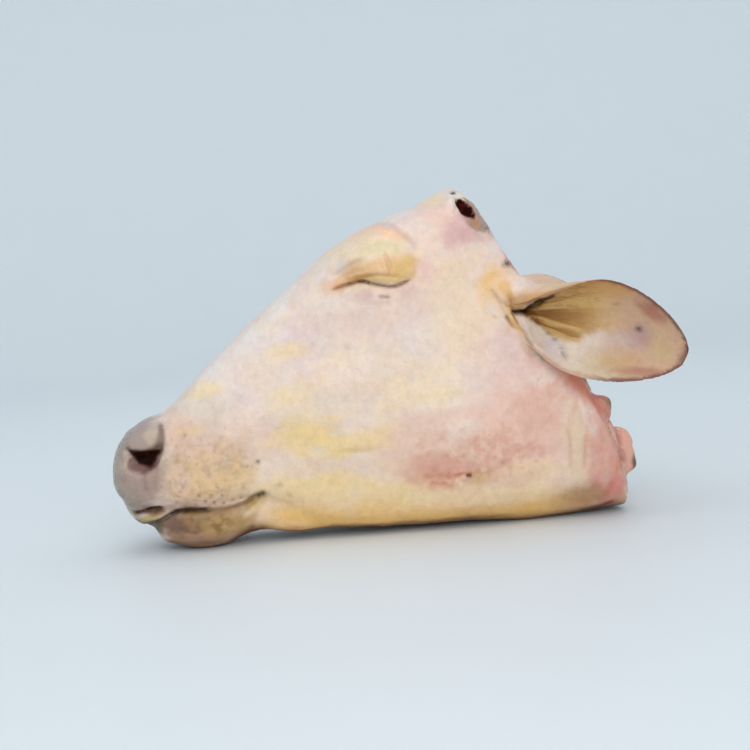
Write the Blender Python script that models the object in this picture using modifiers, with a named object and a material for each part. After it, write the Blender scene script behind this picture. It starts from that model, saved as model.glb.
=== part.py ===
"""A scalded beef head with its skin on, resting on its lower jaw.

Metres, +Z up. The muzzle points to -X, the neck was cut off at +X, and the head is alike on both
sides of the plane Y = 0, but for loose skin and torn flesh. The origin is on the resting surface,
under the middle of the head with its ears. Working sizes are in millimetres, and become metres
when a mesh is made. Only the left side, at -Y, is described. The right one mirrors it.
"""

import math

import bmesh
import bpy
import numpy as np
from mathutils import Matrix, Vector, noise

MM = 0.001
MIRROR = np.array([1.0, -1.0, 1.0])

SKIN_COLOUR = (0.76, 0.64, 0.53, 1.0)
SKIN_ROUGHNESS = 0.45

# Share of a slice's height at which each of its half-widths is given, underside to roof.
HEIGHTS = (0.04, 0.27, 0.52, 0.77, 0.965)

# Slices of the face, muzzle to neck. Top and bottom are (x, z) in the side view. Bow is how far
# the slice leans back halfway up. Then come the half-widths at HEIGHTS.
FACE = (
    {"top": (-243, 147), "bottom": (-262, 50), "bow": -5, "widths": (44, 58, 60, 51, 28)},
    {"top": (-222, 165), "bottom": (-238, 50), "bow": 0, "widths": (51, 64, 62, 49, 28)},
    {"top": (-189, 197), "bottom": (-197, 48), "bow": 0, "widths": (54, 64, 60, 46, 27)},
    {"top": (-141, 234), "bottom": (-135, 44), "bow": 0, "widths": (48, 62, 69, 53, 31)},
    {"top": (-91, 277), "bottom": (-83, 8), "bow": 0, "widths": (44, 67, 80, 65, 38)},
    {"top": (-47, 309), "bottom": (-33, 1), "bow": 0, "widths": (50, 78, 88, 84, 58)},
    {"top": (3, 335), "bottom": (19, -1), "bow": 0, "widths": (56, 86, 95, 99, 80)},
    {"top": (53, 351), "bottom": (83, -1), "bow": 0, "widths": (62, 94, 99, 93, 80)},
    {"top": (93, 361), "bottom": (145, -1), "bow": 4, "widths": (66, 97, 97, 86, 72)},
    {"top": (117, 333), "bottom": (207, -1), "bow": 10, "widths": (66, 95, 95, 80, 60)},
    {"top": (131, 276), "bottom": (258, 0), "bow": 17, "widths": (60, 89, 91, 76, 46)},
)
MUZZLE_DEPTH = 45

# Slices of the lower lip and chin, which run back inside the cheeks.
CHIN = (
    {"top": (-245, 45), "bottom": (-239, 4), "bow": 0, "widths": (18, 34, 40, 43, 36)},
    {"top": (-219, 51), "bottom": (-217, -3), "bow": 0, "widths": (24, 45, 52, 55, 49)},
    {"top": (-189, 50), "bottom": (-191, -3), "bow": 0, "widths": (24, 44, 52, 55, 50)},
    {"top": (-163, 53), "bottom": (-165, 7), "bow": 0, "widths": (24, 39, 48, 53, 48)},
    {"top": (-141, 57), "bottom": (-143, 14), "bow": 0, "widths": (30, 42, 47, 48, 42)},
    {"top": (-101, 58), "bottom": (-103, 8), "bow": 0, "widths": (36, 43, 45, 40, 28)},
    {"top": (-55, 54), "bottom": (-55, 8), "bow": 0, "widths": (34, 42, 42, 36, 22)},
)
CHIN_DEPTH = 18

# Lumps fused to the head, each a stretched ball: centre, radii and lean in degrees.
TONGUE_TIP = ((-252, 0, 41), (31, 42, 6.5), -11)
UPPER_LIP_FRONT = ((-275.5, 0, 58), (17, 42, 31), -17)
NECK_SCRAPS = {
    "hanging flap": ((249, -58, 72), (14, 8, 27), -10),
    "foot of the flap": ((255, -54, 52), (11, 7, 11), 20),
    "shred below the ear": ((225, -76, 121), (12, 9, 13), 0),
    "far flap": ((233, 52, 110), (13, 12, 24), -14),
    "throat shred": ((251, 14, 34), (12, 18, 9), 0),
}

# The stubs that the sawn-off horns leave at the corners of the poll, and their open sinus.
HORN_END = np.array([100.0, -67.0, 335.0])
HORN_AXIS = np.array([0.77, -0.34, 0.54])
HORN_RADIUS = 31
HORN_SPREAD = 1.0
HORN_LENGTH = 60
HORN_END_REACH = 4
SINUS_RADIUS = 23
SINUS_DEPTH = 22
# Where the sinus begins and levels out, as shares of its radius, and how it bends between them.
SINUS_RIM = 1.1
SINUS_FLOOR = 0.2
SINUS_BEND = 0.6
# Waves of its rim: share of the radius, and radians per millimetre, along Z and along X.
SINUS_WAVES = ((0.2, 0.21), (0.12, 0.33))

# Soft forms raised on the skin, or sunk where the height is negative: centre, radii, height.
SWELLS = {
    "brow": ((1, 94, 326), (40, 30, 14), 5),
    "upper eyelid": ((-7, 100, 296), (36, 36, 22), 9),
    "eyeball": ((-3, 104, 284), (24, 34, 12), 4.5),
    "lower eyelid": ((-9, 100, 261), (30, 30, 6), 2),
    "tear trough": ((-57, 80, 264), (22, 30, 12), -3),
    "hollow below the brow's front": ((-51, 72, 292), (14, 30, 14), -2.5),
    "root of the horn": ((62, 92, 284), (36, 40, 26), 5),
    "cheekbone ridge": ((-75, 84, 172), (44, 26, 16), 4),
    "hollow under the cheekbone": ((-101, 70, 112), (44, 30, 24), -3.5),
    "chewing muscle": ((99, 98, 118), (72, 40, 66), 5),
    "jaw edge": ((55, 76, 22), (110, 34, 18), 3),
    "root of the ear": ((135, 82, 246), (24, 30, 34), 9),
    "slope of the nose": ((-281, 0, 140), (20, 60, 16), -6),
    "nostril's inner wing": ((-273, 36, 126), (18, 18, 14), 5),
    "nostril's outer wing": ((-241, 58, 108), (14, 22, 28), 6),
    "upper lip": ((-217, 62, 66), (44, 26, 14), 3.5),
    "lower lip": ((-261, 0, 33), (12, 40, 8), 4),
    "chin": ((-217, 52, 24), (34, 26, 14), 3),
    "bridge of the nose": ((-155, 0, 235), (60, 14, 24), 2),
    "forehead dish": ((15, 0, 335), (60, 46, 24), -2),
    "crest of the poll": ((97, 0, 360), (22, 34, 22), 6),
    "throat": ((85, 0, 0), (170, 34, 14), -9),
    "jaw's resting edge": ((145, 46, 0), (50, 20, 14), 4.5),
    "under the chin": ((-211, 0, 0), (40, 12, 10), -2),
}

# Folds pressed into the skin, as paths of (x, z) in the side view. Inner is how close to the
# middle of the head they reach.
FOLDS = {
    "eye slit": {
        "path": ((-50, 268), (-37, 273), (-23, 275), (-5, 270), (13, 268), (29, 274)),
        "width": 3.6, "depth": 8, "inner": 40,
    },
    "brow fold": {
        "path": ((-23, 333), (1, 336), (21, 328), (35, 310), (38, 290)),
        "width": 6, "depth": 2, "inner": 60,
    },
    "inner corner fold": {
        "path": ((-47, 278), (-35, 287), (-23, 293)),
        "width": 4, "depth": 2.5, "inner": 40,
    },
    "fold in the eyelid": {
        "path": ((3, 298), (10, 288), (17, 281)),
        "width": 4.5, "depth": 2.5, "inner": 60,
    },
    "mouth": {
        "path": ((-270, 29), (-255, 36), (-243, 42), (-223, 47), (-200, 46), (-175, 47), (-141, 58)),
        "width": 3, "depth": 4.5, "inner": 0,
    },
    "gap above the tongue": {
        "path": ((-284, 46), (-270, 47), (-262, 48), (-250, 50)),
        "width": 2.6, "depth": 5, "inner": 0,
    },
    "fold behind the mouth": {
        "path": ((-137, 50), (-145, 40), (-153, 28), (-157, 14)),
        "width": 5, "depth": 4, "inner": 30,
    },
    "cut in the cheek": {
        "path": ((33, 57), (45, 60), (55, 61)),
        "width": 3.6, "depth": 2.5, "inner": 60,
    },
}

FOLD_FADE = 4
FOLD_END_DEPTH = 0.35

# The left nostril, a comma of (x, z, radius) in the side view, bored along one direction.
NOSTRIL = ((-278, 101, 8.5), (-268, 103, 11), (-258, 108, 9.5), (-250, 121, 5.5), (-246, 139, 3.5))
NOSTRIL_WAY_IN = np.array([0.78, 0.60, 0.10])
NOSTRIL_WIDEST = 11
NOSTRIL_DEPTH = 34
NOSTRIL_INNER = 16
# Where its wall begins and levels out, as shares of its radius.
NOSTRIL_RIM = 1.15
NOSTRIL_FLOOR = 0.5

# Relief of the cut neck, as seen from behind: (y, z), radii, height.
NECK_FORMS = {
    "spine canal": ((0, 214), (15, 13), -26),
    "joint knob of the skull": ((28, 200), (17, 21), 11),
    "nape muscle": ((34, 250), (26, 16), 5),
    "nape cord": ((0, 258), (9, 9), 4),
    "muscle under the skull": ((20, 156), (16, 20), 6),
    "windpipe": ((0, 100), (27, 29), 10),
    "windpipe's bore": ((0, 100), (15, 17), -34),
    "jaw muscle": ((66, 96), (18, 46), 8),
    "groove inside the jaw": ((42, 104), (7, 42), -7),
    "gland behind the jaw": ((64, 170), (17, 20), 7),
    "root of the tongue": ((0, 48), (32, 18), 7),
}
SKIN_EDGE = 7
CUT_REACH = 6
FACES_BACK = 0.3

# The ear, base to tip: the deepest line of its trough, half the width of the gristle from edge
# to edge, how far it rolls round (180 would be a full tube), how far its opening turns to the
# ground, and its thickness with the skin.
EAR = (
    {"at": (105, -40, 262), "half": 34, "roll": 158, "turn": 58, "thick": 16},
    {"at": (132, -61, 258), "half": 37, "roll": 156, "turn": 55, "thick": 14},
    {"at": (155, -81, 250), "half": 44, "roll": 134, "turn": 46, "thick": 11},
    {"at": (181, -98, 234), "half": 57, "roll": 88, "turn": 24, "thick": 7.5},
    {"at": (212, -112, 216), "half": 63, "roll": 60, "turn": 8, "thick": 5.5},
    {"at": (245, -128, 200), "half": 55, "roll": 46, "turn": 2, "thick": 5},
    {"at": (273, -143, 186), "half": 39, "roll": 36, "turn": 0, "thick": 4.6},
    {"at": (289, -153, 177), "half": 23, "roll": 26, "turn": 0, "thick": 4.4},
    {"at": (297, -158, 172), "half": 7, "roll": 16, "turn": 0, "thick": 4},
)
EAR_STEPS = 3
EAR_COLUMNS = 14
EAR_EDGE_SHARE = 0.2
EAR_EDGE_SHARPNESS = 6

ROWS_PER_SLICE = 8
COLUMNS_PER_WIDTH = 5
FOLD_STEPS = 6
DOME_RINGS = 10
DOME_BLUNTNESS = 2.6

CLAY_VOXEL = 3.0
SOFTENING = 0.5
SOFTENING_ROUNDS = 8
SETTLING_ROUNDS = 2
SLACK_SKIN = 1.3
SLACK_SIZE = 55
SMALL_SLACK = 0.5
SMALL_SLACK_SIZE = 24
PRESSED_FLAT = 1.5
HEAD_TRIANGLES = 8800
IRONING_ROUNDS = 6
FOLDED = math.radians(75)


# Curves


def slopes(t, points):
    """Slope at each point of a smooth curve through points, at the parameters t."""
    gaps = np.diff(t)[:, None, None]
    rates = np.diff(points, axis=0) / gaps
    inner = (rates[:-1] * gaps[1:] + rates[1:] * gaps[:-1]) / (gaps[1:] + gaps[:-1])
    return np.concatenate([rates[:1], inner, rates[-1:]])


def smooth_through(points, steps):
    """A smooth curve through rows of points, steps to each gap between rows."""
    centres = points.mean(axis=1)
    t = np.concatenate([[0.0], np.cumsum(np.linalg.norm(np.diff(centres, axis=0), axis=1))])
    slope = slopes(t, points)
    rows = []
    for i in range(len(points) - 1):
        gap = t[i + 1] - t[i]
        for step in range(steps):
            u = step / steps
            rows.append(
                (2 * u**3 - 3 * u**2 + 1) * points[i]
                + (u**3 - 2 * u**2 + u) * gap * slope[i]
                + (3 * u**2 - 2 * u**3) * points[i + 1]
                + (u**3 - u**2) * gap * slope[i + 1]
            )
    rows.append(points[-1])
    return np.array(rows)


def smooth_path(path, steps):
    """A smooth curve through single points, such as (x, z) pairs."""
    return smooth_through(np.array(path, float)[:, None, :], steps)[:, 0]


def distance_to_path(flat, path):
    """Each flat point's distance to a path, and how far along the path the nearest place is."""
    best = np.full(len(flat), np.inf)
    along = np.zeros(len(flat))
    for i, (start, end) in enumerate(zip(path, path[1:])):
        run = end - start
        t = np.clip((flat - start) @ run / (run @ run), 0, 1)
        away = np.linalg.norm(flat - (start + t[:, None] * run), axis=1)
        nearer = away < best
        best[nearer] = away[nearer]
        along[nearer] = i + t[nearer]
    return best, along / (len(path) - 1)


# Masses of the head


def lean_back(slice_, share):
    """How far a slice leans back at a share of its height."""
    return slice_["bow"] * 4 * share * (1 - share)


def half_section(slice_):
    """The seven corners of one slice's left half: underside, five half-widths, roof."""
    top = np.array(slice_["top"], float)
    bottom = np.array(slice_["bottom"], float)
    corners = []
    for share, width in zip((0.0, *HEIGHTS, 1.0), (0.0, *slice_["widths"], 0.0)):
        x, z = bottom + share * (top - bottom)
        corners.append((x + lean_back(slice_, share), -width, z))
    return corners


def sections(slices):
    """Closed rings of the loft, each from the underside up the left side and down the right."""
    rails = np.array([half_section(slice_) for slice_ in slices])
    rails = smooth_through(rails, ROWS_PER_SLICE)
    whole = np.concatenate([rails[:, 1:2] * MIRROR, rails, rails[:, -2:-1] * MIRROR], axis=1)
    dense = smooth_through(whole.transpose(1, 0, 2), COLUMNS_PER_WIDTH)
    dense = dense[COLUMNS_PER_WIDTH : len(dense) - COLUMNS_PER_WIDTH].transpose(1, 0, 2)
    return np.concatenate([dense, dense[:, -2:0:-1] * MIRROR], axis=1)


def dome(ring, depth):
    """The tip and rings that close the loft's front end with a blunt rounded cap."""
    centre = ring.mean(axis=0)
    rings = []
    for k in range(1, DOME_RINGS):
        scale = math.sin(0.5 * math.pi * k / DOME_RINGS)
        forward = (1 - scale**DOME_BLUNTNESS) ** (1 / DOME_BLUNTNESS)
        rings.append(centre + (ring - centre) * scale - np.array([depth * forward, 0, 0]))
    return centre - np.array([depth, 0, 0]), np.array(rings)


def add_face(bm, corners):
    """Adds a face to bm. A corner that is named twice counts once."""
    bm.faces.new(list(dict.fromkeys(corners)))


def add_loft(bm, slices, depth):
    """Adds a closed shell to bm: a domed front, the lofted slices, and strips across the back."""
    rings = sections(slices)
    tip, cap = dome(rings[0], depth)
    rings = np.concatenate([cap, rings])
    count = rings.shape[1]
    front = bm.verts.new(tip * MM)
    vertices = [[bm.verts.new(p * MM) for p in ring] for ring in rings]
    for j in range(count):
        k = (j + 1) % count
        bm.faces.new((front, vertices[0][j], vertices[0][k]))
        for first, second in zip(vertices, vertices[1:]):
            bm.faces.new((first[k], first[j], second[j], second[k]))
    back = vertices[-1]
    for j in range(count // 2):
        add_face(bm, (back[j], back[j + 1], back[count - j - 1], back[(count - j) % count]))


def add_lump(bm, centre, radii, lean):
    """Adds a stretched ball to bm, leaning by so many degrees about the sideways axis."""
    matrix = (
        Matrix.Translation(Vector(centre) * MM)
        @ Matrix.Rotation(math.radians(lean), 4, "Y")
        @ Matrix.Diagonal((*(Vector(radii) * MM), 1))
    )
    bmesh.ops.create_uvsphere(bm, u_segments=32, v_segments=16, radius=1, matrix=matrix)


def add_horn_stub(bm, side):
    """Adds a short round stub with a sawn end. Side is -1 for the left and 1 for the right."""
    flip = np.array([1, -side, 1])
    axis = Vector(HORN_AXIS * flip).normalized()
    middle = Vector(HORN_END * flip) - axis * HORN_LENGTH / 2
    matrix = Matrix.Translation(middle * MM) @ axis.to_track_quat("Z", "Y").to_matrix().to_4x4()
    bmesh.ops.create_cone(
        bm,
        cap_ends=True,
        segments=40,
        radius1=HORN_RADIUS * HORN_SPREAD * MM,
        radius2=HORN_RADIUS * MM,
        depth=HORN_LENGTH * MM,
        matrix=matrix,
    )


# Sculpting: each stroke takes points in millimetres and returns them moved


def bell(distance):
    """1 at no distance, falling smoothly to almost nothing at 2."""
    return np.exp(-(distance**2))


def to_left(vectors):
    """Points or directions with the right side folded onto the left."""
    return np.column_stack([vectors[:, 0], -np.abs(vectors[:, 1]), vectors[:, 2]])


def away_on_both_sides(direction, points):
    """One left-side direction, mirrored for the points that lie on the right."""
    side = np.where(points[:, 1] > 0, -1.0, 1.0)
    return direction * np.column_stack([np.ones_like(side), side, np.ones_like(side)])


def slacken(points, normals):
    """Loose unevenness of the skin, the same on every run."""
    places = [Vector(p) for p in points]
    large = np.array([noise.noise(p / SLACK_SIZE) for p in places])
    small = np.array([noise.noise(p / SMALL_SLACK_SIZE) for p in places])
    return points + normals * (SLACK_SKIN * (large + SMALL_SLACK * small))[:, None]


def swell(points, normals, centre, radii, height):
    """Raises the skin round a centre on both sides."""
    middle = np.array(centre, float) * MIRROR
    away = np.linalg.norm((to_left(points) - middle) / radii, axis=1)
    return points + normals * (height * bell(away))[:, None]


def fold(points, normals, path, width, depth, inner):
    """Presses a crease into both sides of the face, fading at its two ends."""
    away, along = distance_to_path(points[:, [0, 2]], smooth_path(path, FOLD_STEPS))
    fade = np.clip(FOLD_FADE * np.minimum(along, 1 - along) + FOLD_END_DEPTH, 0, 1)
    reached = np.abs(points[:, 1]) >= inner
    return points - normals * (depth * fade * reached * bell(away / width))[:, None]


def bore_nostrils(points, normals):
    """Sinks the comma-shaped nostrils into the muzzle."""
    comma = np.array(NOSTRIL, float)
    away, along = distance_to_path(points[:, [0, 2]], comma[:, :2])
    radius = np.interp(along * (len(comma) - 1), range(len(comma)), comma[:, 2])
    outward = np.sum(away_on_both_sides(NOSTRIL_WAY_IN, points) * normals, axis=1) < 0
    steep = np.clip((NOSTRIL_RIM - away / radius) / (NOSTRIL_RIM - NOSTRIL_FLOOR), 0, 1)
    deep = steep * steep * (3 - 2 * steep) * outward * (np.abs(points[:, 1]) > NOSTRIL_INNER)
    depth = NOSTRIL_DEPTH * (radius / NOSTRIL_WIDEST) ** 2
    return points + away_on_both_sides(NOSTRIL_WAY_IN, points) * (deep * depth)[:, None]


def open_sinus(points):
    """Hollows the sawn end of both horn stubs, with a ragged rim."""
    axis = HORN_AXIS / np.linalg.norm(HORN_AXIS)
    from_end = (to_left(points) - HORN_END) @ axis
    radial = np.linalg.norm(to_left(points) - HORN_END - from_end[:, None] * axis, axis=1)
    waves = zip(SINUS_WAVES, (points[:, 2], points[:, 0]))
    ragged = SINUS_RADIUS * (1 + sum(share * np.sin(rate * along) for (share, rate), along in waves))
    inside = np.clip((SINUS_RIM - radial / ragged) / (SINUS_RIM - SINUS_FLOOR), 0, 1) ** SINUS_BEND
    sunk = SINUS_DEPTH * inside * (np.abs(from_end) < HORN_END_REACH)
    return points - away_on_both_sides(axis, points) * sunk[:, None]


def cut_face_x(z):
    """The x of the cut across the neck at each height z."""
    outline = np.array(half_section(FACE[-1]))
    share = np.clip((z - outline[0, 2]) / (outline[-1, 2] - outline[0, 2]), 0, 1)
    straight = outline[0, 0] + share * (outline[-1, 0] - outline[0, 0])
    return straight + lean_back(FACE[-1], share)


def shape_neck(points, normals):
    """Gives the cut neck its muscles, bone and hollows inside the edge of the skin."""
    outline = sections(FACE)[-1][:, [1, 2]]
    inset, _ = distance_to_path(points[:, [1, 2]], np.concatenate([outline, outline[:1]]))
    side, up = np.abs(points[:, 1]), points[:, 2]
    height = np.zeros(len(points))
    for (y, z), (wide, tall), rise in NECK_FORMS.values():
        height += rise * bell(np.hypot((side - y) / wide, (up - z) / tall))
    on_cut = (np.abs(points[:, 0] - cut_face_x(up)) < CUT_REACH) & (normals[:, 0] > FACES_BACK)
    inner = np.clip(inset / SKIN_EDGE - 0.5, 0, 1)
    moved = points.copy()
    moved[:, 0] += on_cut * height * inner
    return moved


def settle(points):
    """Flattens what the head's weight presses onto the surface."""
    settled = points.copy()
    settled[:, 2] = np.where(points[:, 2] < PRESSED_FLAT, 0, points[:, 2])
    return settled


# Ears


def ear_row(row, tangent):
    """The inner and outer skin across one row of the ear."""
    at, (half, roll, turn, thick) = row[:3], row[3:]
    roll, turn = math.radians(roll), math.radians(turn)
    tangent = tangent / np.linalg.norm(tangent)
    up = np.array([0, 0, 1]) - tangent[2] * tangent
    up /= np.linalg.norm(up)
    out = np.cross(tangent, up)
    opening = out * math.cos(turn) - up * math.sin(turn)
    wide = up * math.cos(turn) + out * math.sin(turn)
    across = np.linspace(-1, 1, EAR_COLUMNS + 1)[:, None]
    angle = across * roll
    inner = at + half / roll * (wide * np.sin(angle) + opening * (1 - np.cos(angle)))
    away = wide * np.sin(angle) - opening * np.cos(angle)
    thinning = EAR_EDGE_SHARE + (1 - EAR_EDGE_SHARE) * np.sqrt(1 - across**EAR_EDGE_SHARPNESS)
    return inner, inner + away * thick * thinning


def ear_mesh(name, side):
    """One closed ear. Side is -1 for the left and 1 for the right."""
    measures = [[*row["at"], row["half"], row["roll"], row["turn"], row["thick"]] for row in EAR]
    rows = smooth_path(measures, EAR_STEPS)
    tangents = np.gradient(rows[:, :3], axis=0)
    flip = np.array([1, -side, 1])
    bm = bmesh.new()
    rings = []
    for row, tangent in zip(rows, tangents):
        inner, outer = ear_row(row, tangent)
        rings.append([bm.verts.new(p * flip * MM) for p in np.concatenate([inner, outer[::-1]])])
    count = len(rings[0])
    for first, second in zip(rings, rings[1:]):
        for j in range(count):
            k = (j + 1) % count
            bm.faces.new((first[j], first[k], second[k], second[j]))
    for end in (rings[0], rings[-1]):
        for j in range(count // 2 - 1):
            bm.faces.new((end[j], end[j + 1], end[count - 2 - j], end[count - 1 - j]))
    bmesh.ops.recalc_face_normals(bm, faces=bm.faces)
    mesh = bpy.data.meshes.new(name)
    bm.to_mesh(mesh)
    bm.free()
    return mesh


# Objects


def clear_scene():
    for obj in list(bpy.data.objects):
        bpy.data.objects.remove(obj, do_unlink=True)


def new_collection(name):
    made = bpy.data.collections.new(name)
    bpy.context.scene.collection.children.link(made)
    return made


def new_object(name, mesh, where):
    obj = bpy.data.objects.new(name, mesh)
    where.objects.link(obj)
    return obj


def skin_material():
    material = bpy.data.materials.new("scalded skin")
    material.use_nodes = True
    surface = material.node_tree.nodes["Principled BSDF"]
    surface.inputs["Base Color"].default_value = SKIN_COLOUR
    surface.inputs["Roughness"].default_value = SKIN_ROUGHNESS
    surface.inputs["Metallic"].default_value = 0.0
    return material


def apply_modifiers(obj):
    """Replaces an object's mesh by what its modifiers make of it."""
    graph = bpy.context.evaluated_depsgraph_get()
    mesh = bpy.data.meshes.new_from_object(obj.evaluated_get(graph))
    obj.modifiers.clear()
    obj.data = mesh


def read(mesh, attribute):
    """A mesh's vertex positions in millimetres, or its normals."""
    values = np.empty(len(mesh.vertices) * 3, np.float32)
    mesh.vertices.foreach_get(attribute, values)
    return values.reshape(-1, 3).astype(float) / (MM if attribute == "co" else 1)


def write(mesh, points):
    """Moves a mesh's vertices to points in millimetres."""
    mesh.vertices.foreach_set("co", (points * MM).astype(np.float32).ravel())
    mesh.update()


def fuse(obj, rounds):
    """Fuses what overlaps in a mesh into one skin and softens it."""
    remesh = obj.modifiers.new("fuse", "REMESH")
    remesh.mode = "VOXEL"
    remesh.voxel_size = CLAY_VOXEL * MM
    smooth = obj.modifiers.new("soften", "SMOOTH")
    smooth.factor = SOFTENING
    smooth.iterations = rounds
    apply_modifiers(obj)


def rough_head(where):
    """The head's masses fused into one skin, with no features yet."""
    bm = bmesh.new()
    add_loft(bm, FACE, MUZZLE_DEPTH)
    add_loft(bm, CHIN, CHIN_DEPTH)
    for lump in (TONGUE_TIP, UPPER_LIP_FRONT, *NECK_SCRAPS.values()):
        add_lump(bm, *lump)
    for side in (-1, 1):
        add_horn_stub(bm, side)
    bmesh.ops.recalc_face_normals(bm, faces=bm.faces)
    mesh = bpy.data.meshes.new("beef_head")
    bm.to_mesh(mesh)
    bm.free()
    head = new_object("beef_head", mesh, where)
    fuse(head, SOFTENING_ROUNDS)
    return head


def sculpt(head):
    """Works the features into the head."""
    points = slacken(read(head.data, "co"), read(head.data, "normal"))
    normals = read(head.data, "normal")
    for centre, radii, height in SWELLS.values():
        points = swell(points, normals, centre, radii, height)
    write(head.data, points)
    normals = read(head.data, "normal")
    for crease in FOLDS.values():
        points = fold(points, normals, **crease)
    points = shape_neck(points, normals)
    points = open_sinus(points)
    points = bore_nostrils(points, normals)
    write(head.data, points)


def thin_out(head):
    """Brings the head down to the triangles that its shape needs."""
    fewer = head.modifiers.new("fewer triangles", "DECIMATE")
    fewer.ratio = HEAD_TRIANGLES / (2 * len(head.data.polygons))
    fewer.use_collapse_triangulate = True
    apply_modifiers(head)


def iron_out(head):
    """Relaxes the few places where thinning folded the skin over itself."""
    bm = bmesh.new()
    bm.from_mesh(head.data)
    for _ in range(IRONING_ROUNDS):
        folded = [v for v in bm.verts if max(e.calc_face_angle() for e in v.link_edges) > FOLDED]
        bmesh.ops.smooth_vert(
            bm, verts=folded, factor=SOFTENING, use_axis_x=True, use_axis_y=True, use_axis_z=True
        )
    bm.to_mesh(head.data)
    bm.free()


def join_ears(head):
    """Joins both ears to the head by one Boolean union."""
    ears = new_collection("ears")
    for side, name in ((-1, "left_ear"), (1, "right_ear")):
        new_object(name, ear_mesh(name, side), ears)
    union = head.modifiers.new("ears", "BOOLEAN")
    union.operation = "UNION"
    union.operand_type = "COLLECTION"
    union.collection = ears
    apply_modifiers(head)
    for ear in list(ears.objects):
        bpy.data.objects.remove(ear, do_unlink=True)
    bpy.data.collections.remove(ears)


def main():
    clear_scene()
    head = rough_head(new_collection("beef_head"))
    sculpt(head)
    fuse(head, SETTLING_ROUNDS)
    thin_out(head)
    iron_out(head)
    write(head.data, settle(read(head.data, "co")))
    join_ears(head)
    head.data.shade_smooth()
    head.data.materials.clear()
    head.data.materials.append(skin_material())


main()
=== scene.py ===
"""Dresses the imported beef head: fine skin and ears, cut flesh, horn cores, hair, stage and camera.

Sculpting sizes are in millimetres in the frame's own axes: the muzzle points to -X, the neck was
cut off at +X, the left side is at -Y. Only the left side is described. The right one mirrors it.
"""

import itertools
import math

import bmesh
import bpy
import numpy as np
from mathutils import Matrix, Vector
from mathutils.bvhtree import BVHTree
from mathutils.kdtree import KDTree


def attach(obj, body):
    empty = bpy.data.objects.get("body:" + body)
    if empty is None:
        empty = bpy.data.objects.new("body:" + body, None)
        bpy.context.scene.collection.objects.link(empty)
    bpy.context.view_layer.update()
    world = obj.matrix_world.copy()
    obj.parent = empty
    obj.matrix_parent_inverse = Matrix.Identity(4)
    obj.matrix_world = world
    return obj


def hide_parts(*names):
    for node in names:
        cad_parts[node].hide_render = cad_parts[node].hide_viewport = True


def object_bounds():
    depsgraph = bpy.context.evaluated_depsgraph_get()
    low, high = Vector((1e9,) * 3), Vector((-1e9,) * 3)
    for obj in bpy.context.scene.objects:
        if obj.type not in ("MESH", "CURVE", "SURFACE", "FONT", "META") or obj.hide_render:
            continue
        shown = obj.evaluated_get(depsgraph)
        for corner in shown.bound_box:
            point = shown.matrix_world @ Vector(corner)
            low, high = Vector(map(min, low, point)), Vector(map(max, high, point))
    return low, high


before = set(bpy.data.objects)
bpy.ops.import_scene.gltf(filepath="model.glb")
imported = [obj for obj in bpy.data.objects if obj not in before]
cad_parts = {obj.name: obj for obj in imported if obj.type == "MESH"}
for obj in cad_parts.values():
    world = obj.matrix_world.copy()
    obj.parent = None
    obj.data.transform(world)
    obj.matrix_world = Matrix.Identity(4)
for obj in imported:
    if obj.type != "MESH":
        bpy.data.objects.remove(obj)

bl_info = {
    "name": "Beef head",
    "version": (1, 0, 0),
    "blender": (4, 5, 0),
    "location": "View3D > Sidebar > Beef head",
    "description": "Makes a scalded beef head with its skin on, and a plain stage for it",
    "category": "Object",
}

CAD_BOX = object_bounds()
HEAD_NODE = "beef_head"
BODY = "root"
MM = 0.001


# Colours


def linear(hex_colour):
    """An sRGB hex colour as linear red, green, blue and alpha."""
    parts = [int(hex_colour[i : i + 2], 16) / 255 for i in (1, 3, 5)]
    return (*(c / 12.92 if c <= 0.04045 else ((c + 0.055) / 1.055) ** 2.4 for c in parts), 1.0)


def rgb(hex_colour):
    """An sRGB hex colour as an array of linear red, green and blue."""
    return np.array(linear(hex_colour)[:3])


def laid_over(colour, tone, share):
    """Each point's colour with a tone laid over it by a share of 0 to 1."""
    share = share[:, None]
    return colour * (1 - share) + tone * share


# Smooth random fields, the same on every run. Each use has its own seed or size, so no two are alike.

HASH_PRIMES = np.array([73856093, 19349663, 83492791], np.int64)
HASH_MIX = 1274126177
HASH_BITS = 0xFFFFFF
SEED_STEP = 7919


def lattice(cells, seed):
    """One random value of -1 to 1 for each whole-number cell."""
    mixed = (cells * HASH_PRIMES).sum(axis=1) + seed * SEED_STEP
    mixed = (mixed ^ (mixed >> 13)) * HASH_MIX
    mixed = (mixed ^ (mixed >> 16)) & HASH_BITS
    return 2 * mixed / HASH_BITS - 1


def lumps(points, size, seed):
    """Smooth random values of -1 to 1 in space, in lumps of about one size."""
    scaled = points / size
    cell = np.floor(scaled).astype(np.int64)
    part = scaled - cell
    part = part * part * (3 - 2 * part)
    total = np.zeros(len(points))
    for corner in itertools.product((0, 1), repeat=3):
        weight = np.prod(np.where(corner, part, 1 - part), axis=1)
        total += weight * lattice(cell + np.array(corner), seed)
    return total


# Lumps on lumps: how many times smaller each kind is, and how strong.
CLOUD_LAYERS = ((1.0, 0.6), (2.1, 0.3), (4.3, 0.15))


def cloudy(points, size, seed):
    """Lumps with smaller lumps on them."""
    return sum(
        strength * lumps(points, size / finer, seed + i)
        for i, (finer, strength) in enumerate(CLOUD_LAYERS)
    )


# Shapes of strokes


def ease(value, start, end):
    """0 up to start and 1 from end, with a smooth step between. Start may be above end."""
    share = np.clip((value - start) / (end - start), 0, 1)
    return share * share * (3 - 2 * share)


def bell(distance):
    """1 at no distance, falling smoothly to almost nothing at 2."""
    return np.exp(-(distance**2))


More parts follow.
